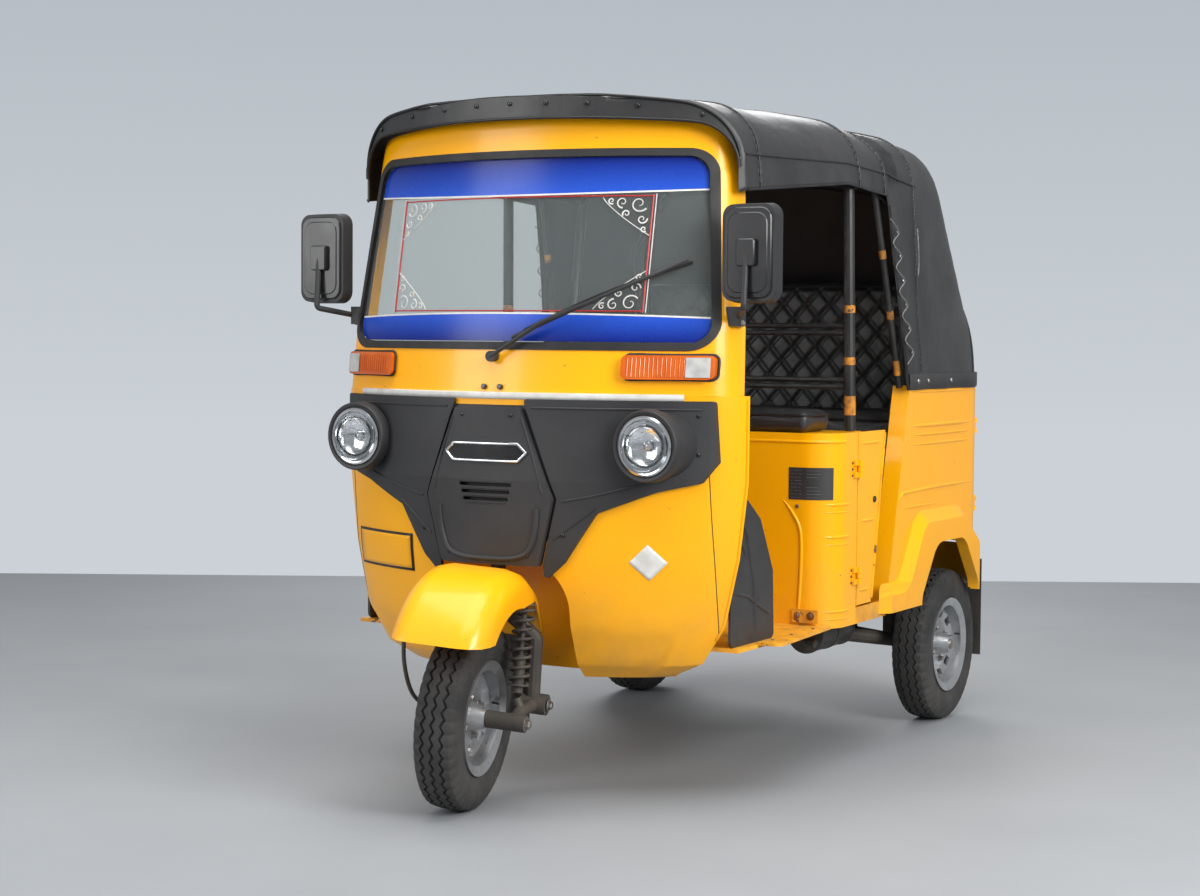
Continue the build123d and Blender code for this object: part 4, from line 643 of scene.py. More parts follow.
def header_radius(turn):
    """Distance from the spine of the windscreen header's opening at an angle from upright."""
    half, corner, corner_z, crown_z = 0.580, 0.106, 1.672, 1.790
    corner_x = half - corner
    bow = crown_z - corner_z - corner
    reach = (corner_x ** 2 + bow ** 2) / (2 * bow)
    sweep = math.asin(corner_x / reach)
    line = [(half + 0.024 * (1.672 - z) / 0.772, z) for z in (1.45, 1.55, 1.62, 1.672)]
    line += [(corner_x + corner * math.cos(t), corner_z + corner * math.sin(t))
             for t in [math.radians(90) * k / 8 - sweep * k / 8 for k in range(1, 9)]]
    line += [(reach * math.sin(sweep * (1 - k / 10)), crown_z - reach + reach * math.cos(sweep * (1 - k / 10)))
             for k in range(1, 11)]
    pairs = sorted((math.atan2(x, z - SPINE_Z), math.hypot(x, z - SPINE_Z)) for x, z in line)
    return along_line([(pairs[0][0] - 0.01, pairs[0][1])] + pairs, abs(turn))


def front_at(share, turn, lift=0.0):
    """A place on the band over the windscreen, from the header's edge (0) to the roof's edge (1)."""
    outer = cast_ray("canopy", Vector((0, FRONT_Y, SPINE_Z)) + Vector((math.sin(turn), 0, math.cos(turn))) * 1.4,
                     -Vector((math.sin(turn), 0, math.cos(turn))))[0]
    far = math.hypot(outer.x, outer.z - SPINE_Z) * 0.985
    near = min(header_radius(turn) + 0.003, far - 0.004)
    radius = lerp(near, far, share)
    found = cast_ray("canopy", (radius * math.sin(turn), -1.3, SPINE_Z + radius * math.cos(turn)), (0, 1, 0))
    if found is None or found[0].y > -0.5:
        return None
    return lifted(found, lift)


canopy_build = Build()
rows = []
turns_front = [roof_low(FRONT_Y) * (k - ACROSS) / ACROSS for k in range(2 * ACROSS + 1)]
edge_ys = []
for turn in turns_front:
    found = front_at(1.0, turn)
    edge_ys.append(found[0].y if found else FRONT_Y - 0.03)
for share in (0.0, 0.12, 0.3, 0.5, 0.7, 0.88, 1.0):
    row = []
    for turn, edge_y in zip(turns_front, edge_ys):
        found = front_at(share, turn)
        if found is None:
            found = roof_at(edge_y, turn)
        row.append(found[0])
    rows.append(row)
for share in (0.12, 0.3, 0.55, 0.8):
    rows.append([roof_at(lerp(min(edge_y + 0.004, FRONT_Y), FRONT_Y, share), turn)[0]
                 for turn, edge_y in zip(turns_front, edge_ys)])
stations = 94
for s in range(stations + 1):
    y = lerp(FRONT_Y, FAN_Y, s / stations)
    low = roof_low(y)
    rows.append([roof_at(y, low * (k - ACROSS) / ACROSS)[0] for k in range(2 * ACROSS + 1)])
canopy_build.grid(rows)
rows = []
for s in range(73):
    around = math.pi * s / 72
    low = fan_low(around)
    rows.append([fan_at(around, low * k / ACROSS)[0] for k in range(ACROSS + 1)])
canopy_build.grid(rows)
canopy_sheet = canopy_build.piece("canopy_sheet", [vinyl], "body", "vinyl", angle=75.0)
if sum(face.normal.z for face in canopy_sheet.data.polygons if face.center.z > 1.85) < 0:
    canopy_sheet.data.flip_normals()
eased = bmesh.new()
eased.from_mesh(canopy_sheet.data)
rear_points = [point for point in eased.verts if point.co.y > 0.60 and not point.is_boundary]
for _ in range(10):
    bmesh.ops.smooth_vert(eased, verts=rear_points, factor=0.5, use_axis_x=True, use_axis_y=True, use_axis_z=True)
eased.to_mesh(canopy_sheet.data)
eased.free()
cloth_tree = BVHTree.FromPolygons([point.co.copy() for point in canopy_sheet.data.vertices],
                                  [tuple(face.vertices) for face in canopy_sheet.data.polygons])


def cloth_at(around, down):
    """A place on the finished rear of the cloth."""
    out = Vector((math.sin(down) * math.cos(around), math.sin(down) * math.sin(around), math.cos(down)))
    point, normal = cloth_tree.ray_cast(Vector((0, FAN_Y, SPINE_Z)) + out * 1.6, -out)[:2]
    if point is None:
        return None
    return point, normal if normal.dot(out) > 0 else -normal


thick = canopy_sheet.modifiers.new("thick", "SOLIDIFY")
thick.thickness = 0.003
thick.offset = -1.0
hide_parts("canopy")


def strap(name, path, width, finish, body="body", slot="vinyl", thick_by=0.0022, base=0.0):
    """A flat strip along (point, normal) pairs, standing off the cloth by its thickness."""
    build = Build()
    rows = []
    count = len(path)
    for i, (point, normal) in enumerate(path):
        ahead = path[min(i + 1, count - 1)][0] - path[max(i - 1, 0)][0]
        across = normal.cross(ahead.normalized()).normalized()
        rows.append([point + across * (width * side / 2) + normal * (base + rise)
                     for side, rise in ((-1.0, 0.0), (-0.94, thick_by), (0.0, thick_by * 1.15), (0.94, thick_by), (1.0, 0.0))])
    build.grid(rows)
    return build.piece(name, finish, body, slot, angle=60.0)


def welt(build, path, radius=0.0034, lift=0.001, index=0, sides=8, closed=False):
    build.tube([point + normal * lift for point, normal in path], radius, sides, closed=closed, index=index)


# piping round the front band, over the bows and along the shoulders
piping_build = Build()
span = [t for t in turns_front if abs(t) < roof_low(FRONT_Y) * 0.93]
for share in (0.04, 0.97):
    line = [front_at(share, t, 0.001) for t in span]
    welt(piping_build, [found for found in line if found], 0.0042)
for y, radius in ((-0.50, 0.0030), (0.145, 0.0036), (0.345, 0.0030), (0.60, 0.0036)):
    low = roof_low(y)
    welt(piping_build, [roof_at(y, low * (k - 60) / 60 * 0.995) for k in range(121)], radius)
for side in (-1, 1):
    line = []
    for k in range(90):
        y = lerp(-0.57, 0.62, k / 89)
        z = along_line([(-0.57, 1.700), (0.06, 1.722), (0.40, 1.712), (0.62, 1.690)], y)
        found = cast_ray("canopy", (side * 1.4, y, z), (-side, 0, 0))
        line.append(lifted(found, 0.0))
    welt(piping_build, line, 0.0032)
    edge = []
    for k in range(70):
        y = lerp(-0.57, 0.362, k / 69)
        found = cast_ray("canopy", (side * 1.4, y, along_line(LOW_EDGE, y) + 0.004), (-side, 0, 0))
        edge.append(lifted(found, 0.0))
    welt(piping_build, edge, 0.0036, 0.0)
    edge = []
    for k in range(40):
        y = lerp(0.372, 0.492, k / 39)
        found = cast_ray("canopy", (side * 1.4, y + 0.006, along_line(LOW_EDGE, y) + 0.004), (-side, 0, 0))
        edge.append(lifted(found, 0.0))
    welt(piping_build, edge, 0.0042, 0.0)
for share in (0.17, 0.83):
    around = math.pi * share
    low = fan_low(around)
    line = [cloth_at(around, low * k / 70) for k in range(12, 70)]
    welt(piping_build, [found for found in line if found], 0.0034)
canopy_piping = piping_build.piece("canopy_piping", piping, "body", "vinyl", angle=60.0)

# hem band with its fasteners, stitching beside the seams
hem_path = []
for k in range(30):
    y = lerp(0.498, FAN_Y, k / 29)
    hem_path.append(lifted(cast_ray("canopy", (1.4, y, 1.098), (-1, 0, 0)), 0.001))
for k in range(1, 72):
    around = math.pi * k / 72
    out = Vector((math.cos(around), math.sin(around), 0))
    hem_path.append(lifted(cast_ray("canopy", Vector((0, FAN_Y, 1.098)) + out * 1.6, -out), 0.001))
for k in range(30):
    y = lerp(FAN_Y, 0.498, k / 29)
    hem_path.append(lifted(cast_ray("canopy", (-1.4, y, 1.098), (1, 0, 0)), 0.001))
hem_band = strap("canopy_hem", hem_path, 0.046, vinyl_faded, base=0.001)
studs_build = Build()
for i in range(8, len(hem_path) - 6, 13):
    screw(studs_build, hem_path[i][0] + hem_path[i][1] * 0.0035, hem_path[i][1], 0.0075)
front_studs_build = Build()
for k in range(11):
    turn = lerp(-0.9, 0.9, k / 10) * roof_low(FRONT_Y)
    found = front_at(0.62, turn, 0.001)
    if found:
        screw(front_studs_build, found[0], found[1], 0.0065)
front_studs = front_studs_build.piece("canopy_front_studs", plastic_gloss, "body", "vinyl")
canopy_studs = studs_build.piece("canopy_studs", bolt_steel, "body", "vinyl")

stitch_build = Build()


def stitches(path, offset, pitch=0.011, length=0.007):
    """Short raised threads beside a seam."""
    for i in range(len(path) - 1):
        (a, na), (b, nb) = path[i], path[i + 1]
        across = na.cross((b - a).normalized()).normalized() * offset
        run = (b - a).length
        count = max(1, int(run / pitch))
        for k in range(count):
            p = a.lerp(b, (k + 0.15) / count) + across + na * 0.0012
            q = a.lerp(b, (k + 0.15 + length / pitch) / count) + across + na * 0.0012
            stitch_build.tube([p, q], 0.0007, 4, caps=False)


for y in (-0.50, 0.145, 0.345, 0.60):
    low = roof_low(y)
    path = [roof_at(y, low * (k - 40) / 40 * 0.98) for k in range(81)]
    for offset in (-0.008, 0.008):
        stitches(path, offset)
for offset in (-0.019, 0.019):
    stitches(hem_path[::3], offset)
canopy_stitching = stitch_build.piece("canopy_stitching", thread, "body", "vinyl", smooth=False)

# lacing and a hook at the curtains' front edges
lace_build = Build()
eyelet_build = Build()
for side in (-1, 1):
    path = []
    for k in range(13):
        z = lerp(1.15, 1.58, k / 12)
        y = lerp(0.480, 0.386, k / 12) + (0.022 if k % 2 else 0.0)
        found = cast_ray("canopy", (side * 1.4, y + 0.022, z), (-side, 0, 0))
        point = found[0] + found[1] * 0.004
        path.append(point if k % 2 else point + Vector((0, -0.034, 0)))
        if k % 2:
            place = place_on(found[0], found[1], lift=0.001)
            eyelet_build.tube([place @ Vector((0.006 * math.cos(TAU * j / 12), 0.006 * math.sin(TAU * j / 12), 0))
                               for j in range(12)], 0.0018, 6, closed=True)
    lace_build.tube(smooth_path(path, 5), 0.0022, 6)
    lace_build.tube(smooth_path([(side * 0.626, 0.560, 1.560), (side * 0.634, 0.552, 1.500), (side * 0.632, 0.562, 1.455),
                                 (side * 0.636, 0.548, 1.418)], 5), 0.0022, 6)
canopy_lacing = lace_build.piece("canopy_lacing", thread, "body", "vinyl")
canopy_eyelets = eyelet_build.piece("canopy_eyelets", bolt_steel, "body", "vinyl")

# clear rear window sewn into the back
window_build = Build()
window_edge = []
half_w, half_h = 0.36, 0.125
rows = []
for r in range(15):
    row = []
    for c in range(29):
        x, z = lerp(-half_w, half_w, c / 28), lerp(1.33, 1.33 + 2 * half_h, r / 14)
        found = cast_ray("canopy", (x, 2.0, z), (0, -1, 0))
        row.append(lifted(found, 0.0016)[0])
    rows.append(row)
window_build.grid(rows)
clear_vinyl = material("clear_vinyl", (0.30, 0.32, 0.33), (0.24, 0.25, 0.26), mottle=4.0, rough=(0.10, 0.22), coat=0.6,
                       coat_rough=0.08, soft_bump=0.25, soft_scale=10.0, specular=0.7)
rear_window = window_build.piece("canopy_window", clear_vinyl, "body", "vinyl", angle=60.0)
window_line = []
for x, z in rounded_rect(2 * half_w + 0.01, 2 * half_h + 0.01, 0.03, 6):
    window_line.append(lifted(cast_ray("canopy", (x, 2.0, z + 1.33 + half_h), (0, -1, 0)), 0.001))
dense = []
for i in range(len(window_line)):
    (a, na), (b, nb) = window_line[i], window_line[(i + 1) % len(window_line)]
    steps = max(1, int((b - a).length / 0.02))
    for k in range(steps):
        mid = a.lerp(b, k / steps)
        found = lifted(cast_ray("canopy", (mid.x, 2.0, mid.z), (0, -1, 0)), 0.001)
        dense.append(found)
frame_build = Build()
welt(frame_build, dense, 0.0052, 0.0015, closed=True)
rear_window_frame = frame_build.piece("canopy_window_frame", piping, "body", "vinyl")

# ------------------------------------------------------------------ wheels
PARK = math.radians(13.0)
RAKE = math.radians(20.0)
STEER_FOOT = Vector((0, -1.040, 0))
STEER_LINE = Vector((0, math.sin(RAKE), math.cos(RAKE)))
hub_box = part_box("front_rim")
parked = (Matrix.Translation(Vector((0, 0, 0.00104))) @ Matrix.Translation(STEER_FOOT)
          @ Matrix.Rotation(PARK, 4, STEER_LINE) @ Matrix.Translation(-STEER_FOOT))


def zigzag(turn, count):
    step = (turn * count / TAU) % 1.0
    return 4 * abs(step - 0.5) - 1.0


def tyre(name, place, node, body):
    """A ribbed road tyre about the place's X axis, with three zigzag grooves and shoulder notches."""
    pitch, around = 46, 46 * 6
    columns = []
    for side in (-1, 1):
        wall = [(0.0450, 0.1345), (0.0480, 0.1460), (0.0500, 0.1530), (0.0520, 0.1545), (0.0533, 0.1600), (0.0560, 0.1700),
                (0.0578, 0.1800), (0.0584, 0.1832), (0.0590, 0.1840), (0.0594, 0.1930), (0.0588, 0.2030), (0.0576, 0.2120),
                (0.0560, 0.2190), (0.0530, 0.2265), (0.0500, 0.2322)]
        columns.append([(side * x, r, 0, 0) for x, r in wall])
    tread = [(-0.0455, 0, 1)]
    for centre in (-0.0255, 0.0, 0.0255):
        tread += [(centre - 0.0040, 0, 2), (centre - 0.0026, 1, 2), (centre + 0.0026, 1, 2), (centre + 0.0040, 0, 2)]
    tread.append((0.0455, 0, 1))
    rows = []
    for k in range(around):
        turn = TAU * k / around
        wave = 0.0048 * zigzag(turn, pitch)
        notch = 1.0 if (k % 6) < 2 else 0.0
        row = []
        for x, r, _, _ in columns[0]:
            cut = 0.0045 * notch if r > 0.2150 else 0.0
            row.append((x, r - cut))
        for x, deep, kind in tread:
            at = x + (wave if kind == 2 else 0.0)
            crown = 0.2430 - 0.0052 * (abs(at) / 0.046) ** 2.4
            row.append((at, crown - (0.0060 if deep else 0.0) - (0.0040 * notch if kind == 1 else 0.0)))
        for x, r, _, _ in reversed(columns[1]):
            cut = 0.0045 * notch if r > 0.2150 else 0.0
            row.append((x, r - cut))
        rows.append([place @ Vector((x, r * math.cos(turn), r * math.sin(turn))) for x, r in row])
    build = Build()
    build.grid(rows, closed_v=True)
    made = build.piece(name, tyre_rubber, body, "tyre", angle=28.0)
    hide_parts(node)
    return made


wheel_places = {
    "left": (Matrix.Translation(Vector((0.540, 0.980, 0.243))), "rear_tyre_left", "rear_wheel_left", 1),
    "right": (Matrix.Translation(Vector((-0.540, 0.980, 0.243))), "rear_tyre_right", "rear_wheel_right", -1),
    "front": (parked @ Matrix.Translation(Vector((0, -0.980, 0.243))), "front_tyre", "front_wheel", 1),
}
for which, (place, node, body, side) in wheel_places.items():
    tyre("tyre_" + which, place, node, body)
    fitting = Build()
    for k in range(4):
        turn = TAU * k / 4 + 0.4
        out = place.to_3x3() @ Vector((side, 0, 0))
        at = place @ Vector((side * 0.0140, 0.057 * math.cos(turn), 0.057 * math.sin(turn)))
        bolt(fitting, at, out, 0.0085, 0.011, turn=turn)
    cap = [(0.0582, 0.0), (0.0640, 0.0), (0.0640, 0.0100), (0.0620, 0.0150), (0.0585, 0.0165), (0.0580, 0.0165)]
    if side == 1 and which == "front":
        cap = []
    if cap:
        fitting.lathe([(side * a, r) for a, r in cap[1:]], place, 20)
    fitting.piece("wheel_fittings_" + which, bolt_steel, body, "wheel_steel")
    valve = Build()
    base = place @ Vector((side * 0.030, 0.112, 0.020))
    valve.tube([base, place @ Vector((side * 0.050, 0.108, 0.020))], 0.0035, 8)
    valve.piece("valve_" + which, rubber, body, "rubber")

# coil spring and damper of the front link
low = parked @ Vector((0.112, -0.915, 0.285))
high = parked @ Vector((0.102, -0.872, 0.545))
axis = (high - low).normalized()
side_way = axis.orthogonal().normalized()
other = axis.cross(side_way)
spring = Build()
length = (high - low).length
coil = []
for k in range(8 * 22 + 1):
    t = k / (8 * 22)
    turn = TAU * 8 * t
    at = low + axis * lerp(0.046, length - 0.022, t)
    coil.append(at + side_way * 0.0250 * math.cos(turn) + other * 0.0250 * math.sin(turn))
spring.tube(coil, 0.0042, 8)
spring.tube([low + axis * 0.022, low + axis * 0.120], 0.0150, 16)
spring.tube([low + axis * 0.120, high - axis * 0.004], 0.0075, 12)
for along, radius in ((0.040, 0.029), (length - 0.014, 0.030)):
    spring.tube([low + axis * along, low + axis * (along + 0.005)], radius, 20)
front_coil = spring.piece("front_coil", underside, "steering", "fork_steel", angle=50.0)
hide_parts("front_spring")
rod = Build()
rod.tube([parked @ point for point in smooth_path([Vector((-0.118, -1.150, 0.520)), Vector((-0.128, -1.120, 0.400)),
                                                   Vector((-0.122, -1.060, 0.300)), Vector((-0.100, -0.985, 0.252)),
                                                   Vector((-0.052, -0.980, 0.243))], 6)], 0.0055, 8)
rod.piece("front_guard_rod", underside, "steering", "fork_steel")
pin = Build()
for x in (0.088, 0.164):
    bolt(pin, parked @ Vector((x, -0.800, 0.262)), parked.to_3x3() @ Vector((1 if x > 0.1 else -1, 0, 0)), 0.011, 0.009)
bolt(pin, parked @ Vector((0.1645, -0.980, 0.243)), parked.to_3x3() @ Vector((1, 0, 0)), 0.013, 0.011)
pin.piece("link_bolts", bolt_steel, "steering", "fork_steel")

# ------------------------------------------------------------------ windscreen bands and ornaments
GLASS_LOW, GLASS_HIGH = 1.2105, 1.6945


def glass_half(z):
    """Half width of the clear glass at a height, inside its seal."""
    d = min(z - GLASS_LOW, GLASS_HIGH - z)
    inset = 0.05 - math.sqrt(max(0.0, 0.05 ** 2 - (0.05 - d) ** 2)) if d < 0.05 else 0.0
    return lerp(0.5555, 0.5095, (z - GLASS_LOW) / (GLASS_HIGH - GLASS_LOW)) - inset


def on_glass(x, z, lift=0.0006):
    found = cast_ray("windscreen_glass", (x, -1.4, z), (0, 1, 0))
    return (found[0] + found[1] * lift, found[1]) if found else None


def glass_strip(name, finish, low, high, inset=0.006, lift=0.0006, steps=64, bands=6):
    """A band of film across the glass between two heights given as functions of the share across."""
    build = Build()
    rows = []
    for r in range(bands + 1):
        row = []
        for c in range(steps + 1):
            share = 2 * c / steps - 1
            z = lerp(low(share), high(share), r / bands)
            z = min(max(z, GLASS_LOW + 0.0015), GLASS_HIGH - 0.0015)
            row.append(on_glass(share * (glass_half(z) - inset), z, lift)[0])
        rows.append(row)
    build.grid(rows)
    return build.piece(name, finish, "body", "glass", angle=60.0)


def film(name, dark, pale, low_z, high_z):
    """A tinted film whose colour pales from one height to another."""
    made = material(name, dark, dark, mottle=3.0, rough=(0.22, 0.3), specular=0.3, grain=300.0, bump=0.02)
    nodes, links = made.node_tree.nodes, made.node_tree.links
    shader = nodes["Principled BSDF"]
    place = nodes.new("ShaderNodeTexCoord")
    split_xyz = nodes.new("ShaderNodeSeparateXYZ")
    links.new(place.outputs["Object"], split_xyz.inputs["Vector"])
    spread = nodes.new("ShaderNodeMapRange")
    spread.inputs["From Min"].default_value = low_z
    spread.inputs["From Max"].default_value = high_z
    links.new(split_xyz.outputs["Z"], spread.inputs["Value"])
    mix = nodes.new("ShaderNodeMix")
    mix.data_type = "RGBA"
    mix.inputs["A"].default_value = (*dark, 1)
    mix.inputs["B"].default_value = (*pale, 1)
    links.new(spread.outputs["Result"], mix.inputs["Factor"])
    links.new(mix.outputs["Result"], shader.inputs["Base Color"])
    return made


film_low = film("film_low", (0.004, 0.016, 0.20), (0.020, 0.085, 0.52), 1.215, 1.285)
film_high = film("film_high", (0.020, 0.085, 0.52), (0.004, 0.016, 0.20), 1.595, 1.690)


def top_edge(share):
    return 1.598 + 0.012 * share * share


def low_edge(share):
    return 1.283 - 0.010 * share * share


glass_strip("film_top", film_high, top_edge, lambda s: GLASS_HIGH)
glass_strip("film_bottom", film_low, lambda s: GLASS_LOW, low_edge)
glass_strip("film_top_line", white_paint, lambda s: top_edge(s) - 0.0045, top_edge, lift=0.0010, bands=1)
glass_strip("film_bottom_line", white_paint, low_edge, lambda s: low_edge(s) + 0.0045, lift=0.0010, bands=1)

LINE_HALF = 0.385
frame_line = Build()
frame_white = Build()
for side in (-1, 1):
    line = [on_glass(side * LINE_HALF, lerp(1.288, 1.594, k / 20), 0.0008)[0] for k in range(21)]
    frame_line.tube(line, 0.0022, 6)
    line = [on_glass(side * (LINE_HALF + 0.007), lerp(1.288, 1.596, k / 20), 0.0008)[0] for k in range(21)]
    frame_white.tube(line, 0.0014, 6)
for z in (1.2915, 1.5905):
    frame_line.tube([on_glass(lerp(-LINE_HALF, LINE_HALF, k / 40), z, 0.0008)[0] for k in range(41)], 0.0017, 6)
frame_line.piece("film_frame_line", red_line, "body", "glass")

for side in (-1, 1):
    for up, base_z, base_x in ((1, 1.3120, 0.352), (-1, 1.5700, 0.352)):
        for size, lean, dx, dz in ((0.022, 0.0, 0.0, 0.0), (0.015, 0.9, -0.042, -0.004), (0.013, -0.7, 0.010, 0.040),
                                   (0.009, 0.4, -0.070, -0.008), (0.008, 0.2, 0.016, 0.066), (0.010, 2.0, -0.030, 0.026)):
            path = []
            for k in range(22):
                t = k / 21
                radius = size * (1.0 - 0.80 * t)
                turn = lean + 0.6 + 7.2 * t
                x = side * (base_x + dx + radius * math.cos(turn))
                z = base_z + up * (dz + radius * math.sin(turn))
                path.append(on_glass(x, z, 0.0010)[0])
            frame_white.tube(path, [lerp(0.0022, 0.0010, k / 21) for k in range(22)], 6)
        bow = []
        for k in range(16):
            t = k / 15
            x = side * (LINE_HALF - 0.125 * math.sin(t * math.pi / 2))
            z = base_z + up * (-0.016 + 0.100 * (1 - math.sin(t * math.pi / 2)) ** 0.8 * 1.0)
            bow.append(on_glass(x, z, 0.0010)[0])
        frame_white.tube(bow, 0.0012, 6)
frame_white.piece("film_scrolls", white_paint, "body", "glass")

# ------------------------------------------------------------------ lamps
for side, word in ((1, "left"), (-1, "right")):
    seat = Matrix.Translation(Vector((side * 0.448, -0.838, 0.949))) @ Matrix.Rotation(-math.pi / 2, 4, "Z")
    place = seat @ Matrix.Scale(1.12, 4)
    shell = Build()
    shell.lathe([(-0.0285, 0.012), (-0.0275, 0.026), (-0.0220, 0.042), (-0.0120, 0.055), (-0.0010, 0.0615), (0.0010, 0.0625)],
                place, 48)
    shell.lathe([(-0.0270, 0.0005), (-0.0270, 0.0110), (-0.0180, 0.0100), (-0.0165, 0.0070), (-0.0150, 0.0005)], place, 20)
    reflector = shell.piece("lamp_bowl_" + word, bowl, "body", "lamp_glass", angle=50.0)
    ring = Build()
    ring.lathe([(0.0010, 0.0605), (0.0052, 0.0615), (0.0064, 0.0650), (0.0040, 0.0688), (-0.0080, 0.0695)], place, 56)
    ring.piece("lamp_ring_" + word, chrome, "body", "lamp_glass")
    lens = Build()
    rows = []
    for r in range(13):
        radius = 0.0620 * r / 12
        rows.append([place @ Vector((0.0050 + 0.0075 * (1 - (r / 12) ** 2)
                                     + 0.0007 * math.cos(TAU * radius * math.sin(TAU * k / 96) / 0.0085) * (1 if r < 12 else 0),
                                     radius * math.cos(TAU * k / 96), radius * math.sin(TAU * k / 96))) for k in range(96)])
    lens.grid(rows, closed_u=True)
    made = lens.piece("lamp_lens_" + word, lens_clear, "body", "lamp_glass", angle=60.0)
    if side == 1:
        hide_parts("headlamps")
    pod = Build()
    pod.lathe([(-0.030, 0.0940), (0.0005, 0.0925), (0.0045, 0.0895), (0.0045, 0.0825), (0.0015, 0.0795), (-0.010, 0.0780)],
              seat, 56)
    pod.piece("lamp_pod_" + word, plastic, "body", "black_plastic", angle=50.0)

signal = Build()
clear = Build()
for side in (-1, 1):
    for k in range(19):
        x = side * lerp(0.372, 0.556, k / 18)
        line = []
        for z in (1.124, 1.136, 1.148, 1.160, 1.172):
            found = cast_ray("turn_signals", (x, -1.4, z), (0, 1, 0))
            line.append(found[0] + found[1] * 0.0006)
        signal.tube(line, 0.0016, 6)
    rows = []
    for z in (1.1225, 1.135, 1.148, 1.161, 1.1735):
        rows.append([(lambda f: f[0] + f[1] * 0.0026)(cast_ray("turn_signals", (side * lerp(0.508, 0.563, c / 8), -1.4, z),
                                                               (0, 1, 0))) for c in range(9)])
    clear.grid(rows)
signal.piece("signal_ribs", lens_amber, "body", "amber")
frosted = material("lens_frosted", (0.50, 0.49, 0.46), (0.36, 0.36, 0.35), mottle=30.0, rough=(0.12, 0.25), coat=0.5,
                   grain=200.0, bump=0.1)
clear.piece("signal_clear", frosted, "body", "amber")
lamp_rim = Build()
for side in (-1, 1):
    line = []
    for x, z in rounded_rect(0.216, 0.064, 0.014, 4):
        found = cast_ray("windscreen_surround", (side * 0.463 + x, -1.4, 1.148 + z), (0, 1, 0))
        line.append(found[0] + found[1] * 0.003)
    lamp_rim.tube(line, 0.0042, 6, closed=True)
lamp_rim.piece("signal_gaskets", rubber, "body", "rubber")
tail = Build()
tail_clear = Build()
for side in (-1, 1):
    for k in range(9):
        x = side * lerp(0.280, 0.405, k / 8)
        tail.tube([(x, 1.2545, 0.472), (x, 1.2545, 0.534)], 0.0020, 6)
    tail_clear.prism([(-0.020, -0.033), (0.020, -0.033), (0.020, 0.033), (-0.020, 0.033)], 0.003,
                     place_on((side * 0.292, 1.2540, 0.503), (0, 1, 0)), 0.001)
tail.piece("tail_ribs", lens_red, "body", "red_lamp")
tail_clear.piece("tail_amber", lens_amber, "body", "red_lamp")

# ------------------------------------------------------------------ body details


def laid(node, points, direction, lift=0.0, steps=8, reach=1.5):
    """Points cast on a node along a direction, with the surface's normals."""
    out = []
    for a, b in zip(points, points[1:]):
        for k in range(steps):
            at = Vector(a).lerp(Vector(b), k / steps)
            found = cast_ray(node, at - Vector(direction).normalized() * reach, direction)
            if found:
                out.append((found[0] + found[1] * lift, found[1]))
    found = cast_ray(node, Vector(points[-1]) - Vector(direction).normalized() * reach, direction)
    if found:
        out.append((found[0] + found[1] * lift, found[1]))
    return out


def bead(build, path, radius, index=0, taper=True):
    """A pressed rib: a rod sunk by a little under half into the panel."""
    points = [point - normal * 0.35 * radius for point, normal in path]
    count = len(points)
    radii = [radius * (min(1.0, 0.45 + 3.0 * min(i, count - 1 - i) / count) if taper else 1.0) for i in range(count)]
    build.tube(points, radii, 8, index=index)


def box(build, low, high, bevel=0.001, index=0):
    """A bevelled block between two corners."""
    low, high = Vector(low), Vector(high)
    mid = (low + high) / 2
    size = high - low
    place = Matrix.Translation(Vector((mid.x, mid.y, low.z)))
    outline = [(-size.x / 2, -size.y / 2), (size.x / 2, -size.y / 2), (size.x / 2, size.y / 2), (-size.x / 2, size.y / 2)]
    build.prism(outline, size.z, place, bevel, index)


ribs = Build()
for side in (-1, 1):
    inward = (-side, 0, 0)
    for line, radius in (([(0.540, 0.962), (1.050, 0.962)], 0.0075), ([(0.545, 0.934), (1.045, 0.934)], 0.0055),
                         ([(0.550, 0.905), (1.040, 0.905)], 0.0055),
                         ([(0.440, 0.741), (0.480, 0.762), (0.760, 0.768), (1.070, 0.768)], 0.0065),
                         ([(0.475, 0.716), (0.600, 0.716), (0.760, 0.716)], 0.0040)):
        bead(ribs, laid("rear_body", [(side * 0.6, y, z) for y, z in line], inward, steps=14), radius)
    bead(ribs, laid("rear_body", [(side * 0.6, 0.540, 1.066), (side * 0.6, 1.060, 1.066)], inward, steps=14), 0.0050)
ribs.piece("body_ribs", paint, "body", "body_paint", angle=60.0)
tail_ribs = Build()
for z in (0.640, 0.800, 0.960):
    bead(tail_ribs, laid("tail_door", [(-0.42, 1.2, z), (0.42, 1.2, z)], (0, -1, 0), steps=24), 0.0075)
tail_ribs.piece("tail_ribs_pressed", paint, "tail_door", "body_paint", angle=60.0)
for side, door in ((1, "half_door_left"), (-1, "half_door_right")):
    build = Build()
    for line in ([(0.150, 0.925), (0.300, 0.925)], [(0.145, 0.500), (0.222, 0.500)], [(0.150, 0.700), (0.262, 0.700)]):
        bead(build, laid(door, [(side * 0.6, y, z) for y, z in line], (-side, 0, 0), steps=10), 0.0055)
    build.piece("door_ribs_" + door[10:], paint, door, "body_paint", angle=60.0)
    lock = Build()
    place = place_on((side * 0.6252, 0.251, 0.758), (side, 0, 0))
    lock.prism([(0.0095 * math.cos(TAU * k / 20), 0.0095 * math.sin(TAU * k / 20)) for k in range(20)], 0.004, place, 0.001)
    lock.piece("door_lock_" + door[10:], plastic_gloss, door, "black_plastic")
    edge = Build()
    edge.tube([point for point, _ in laid(door, [(side * 0.6, 0.236, 0.470), (side * 0.6, 0.326, 0.950)], (-side, 0, 0),
                                          0.001, 16)], 0.0040, 8)
    edge.piece("door_edge_" + door[10:], paint_worn, door, "body_paint")

# box under the driver: pressed flange, groove and corner pleats
BOX_CORNER = Vector((0.530, 0.045, 0))


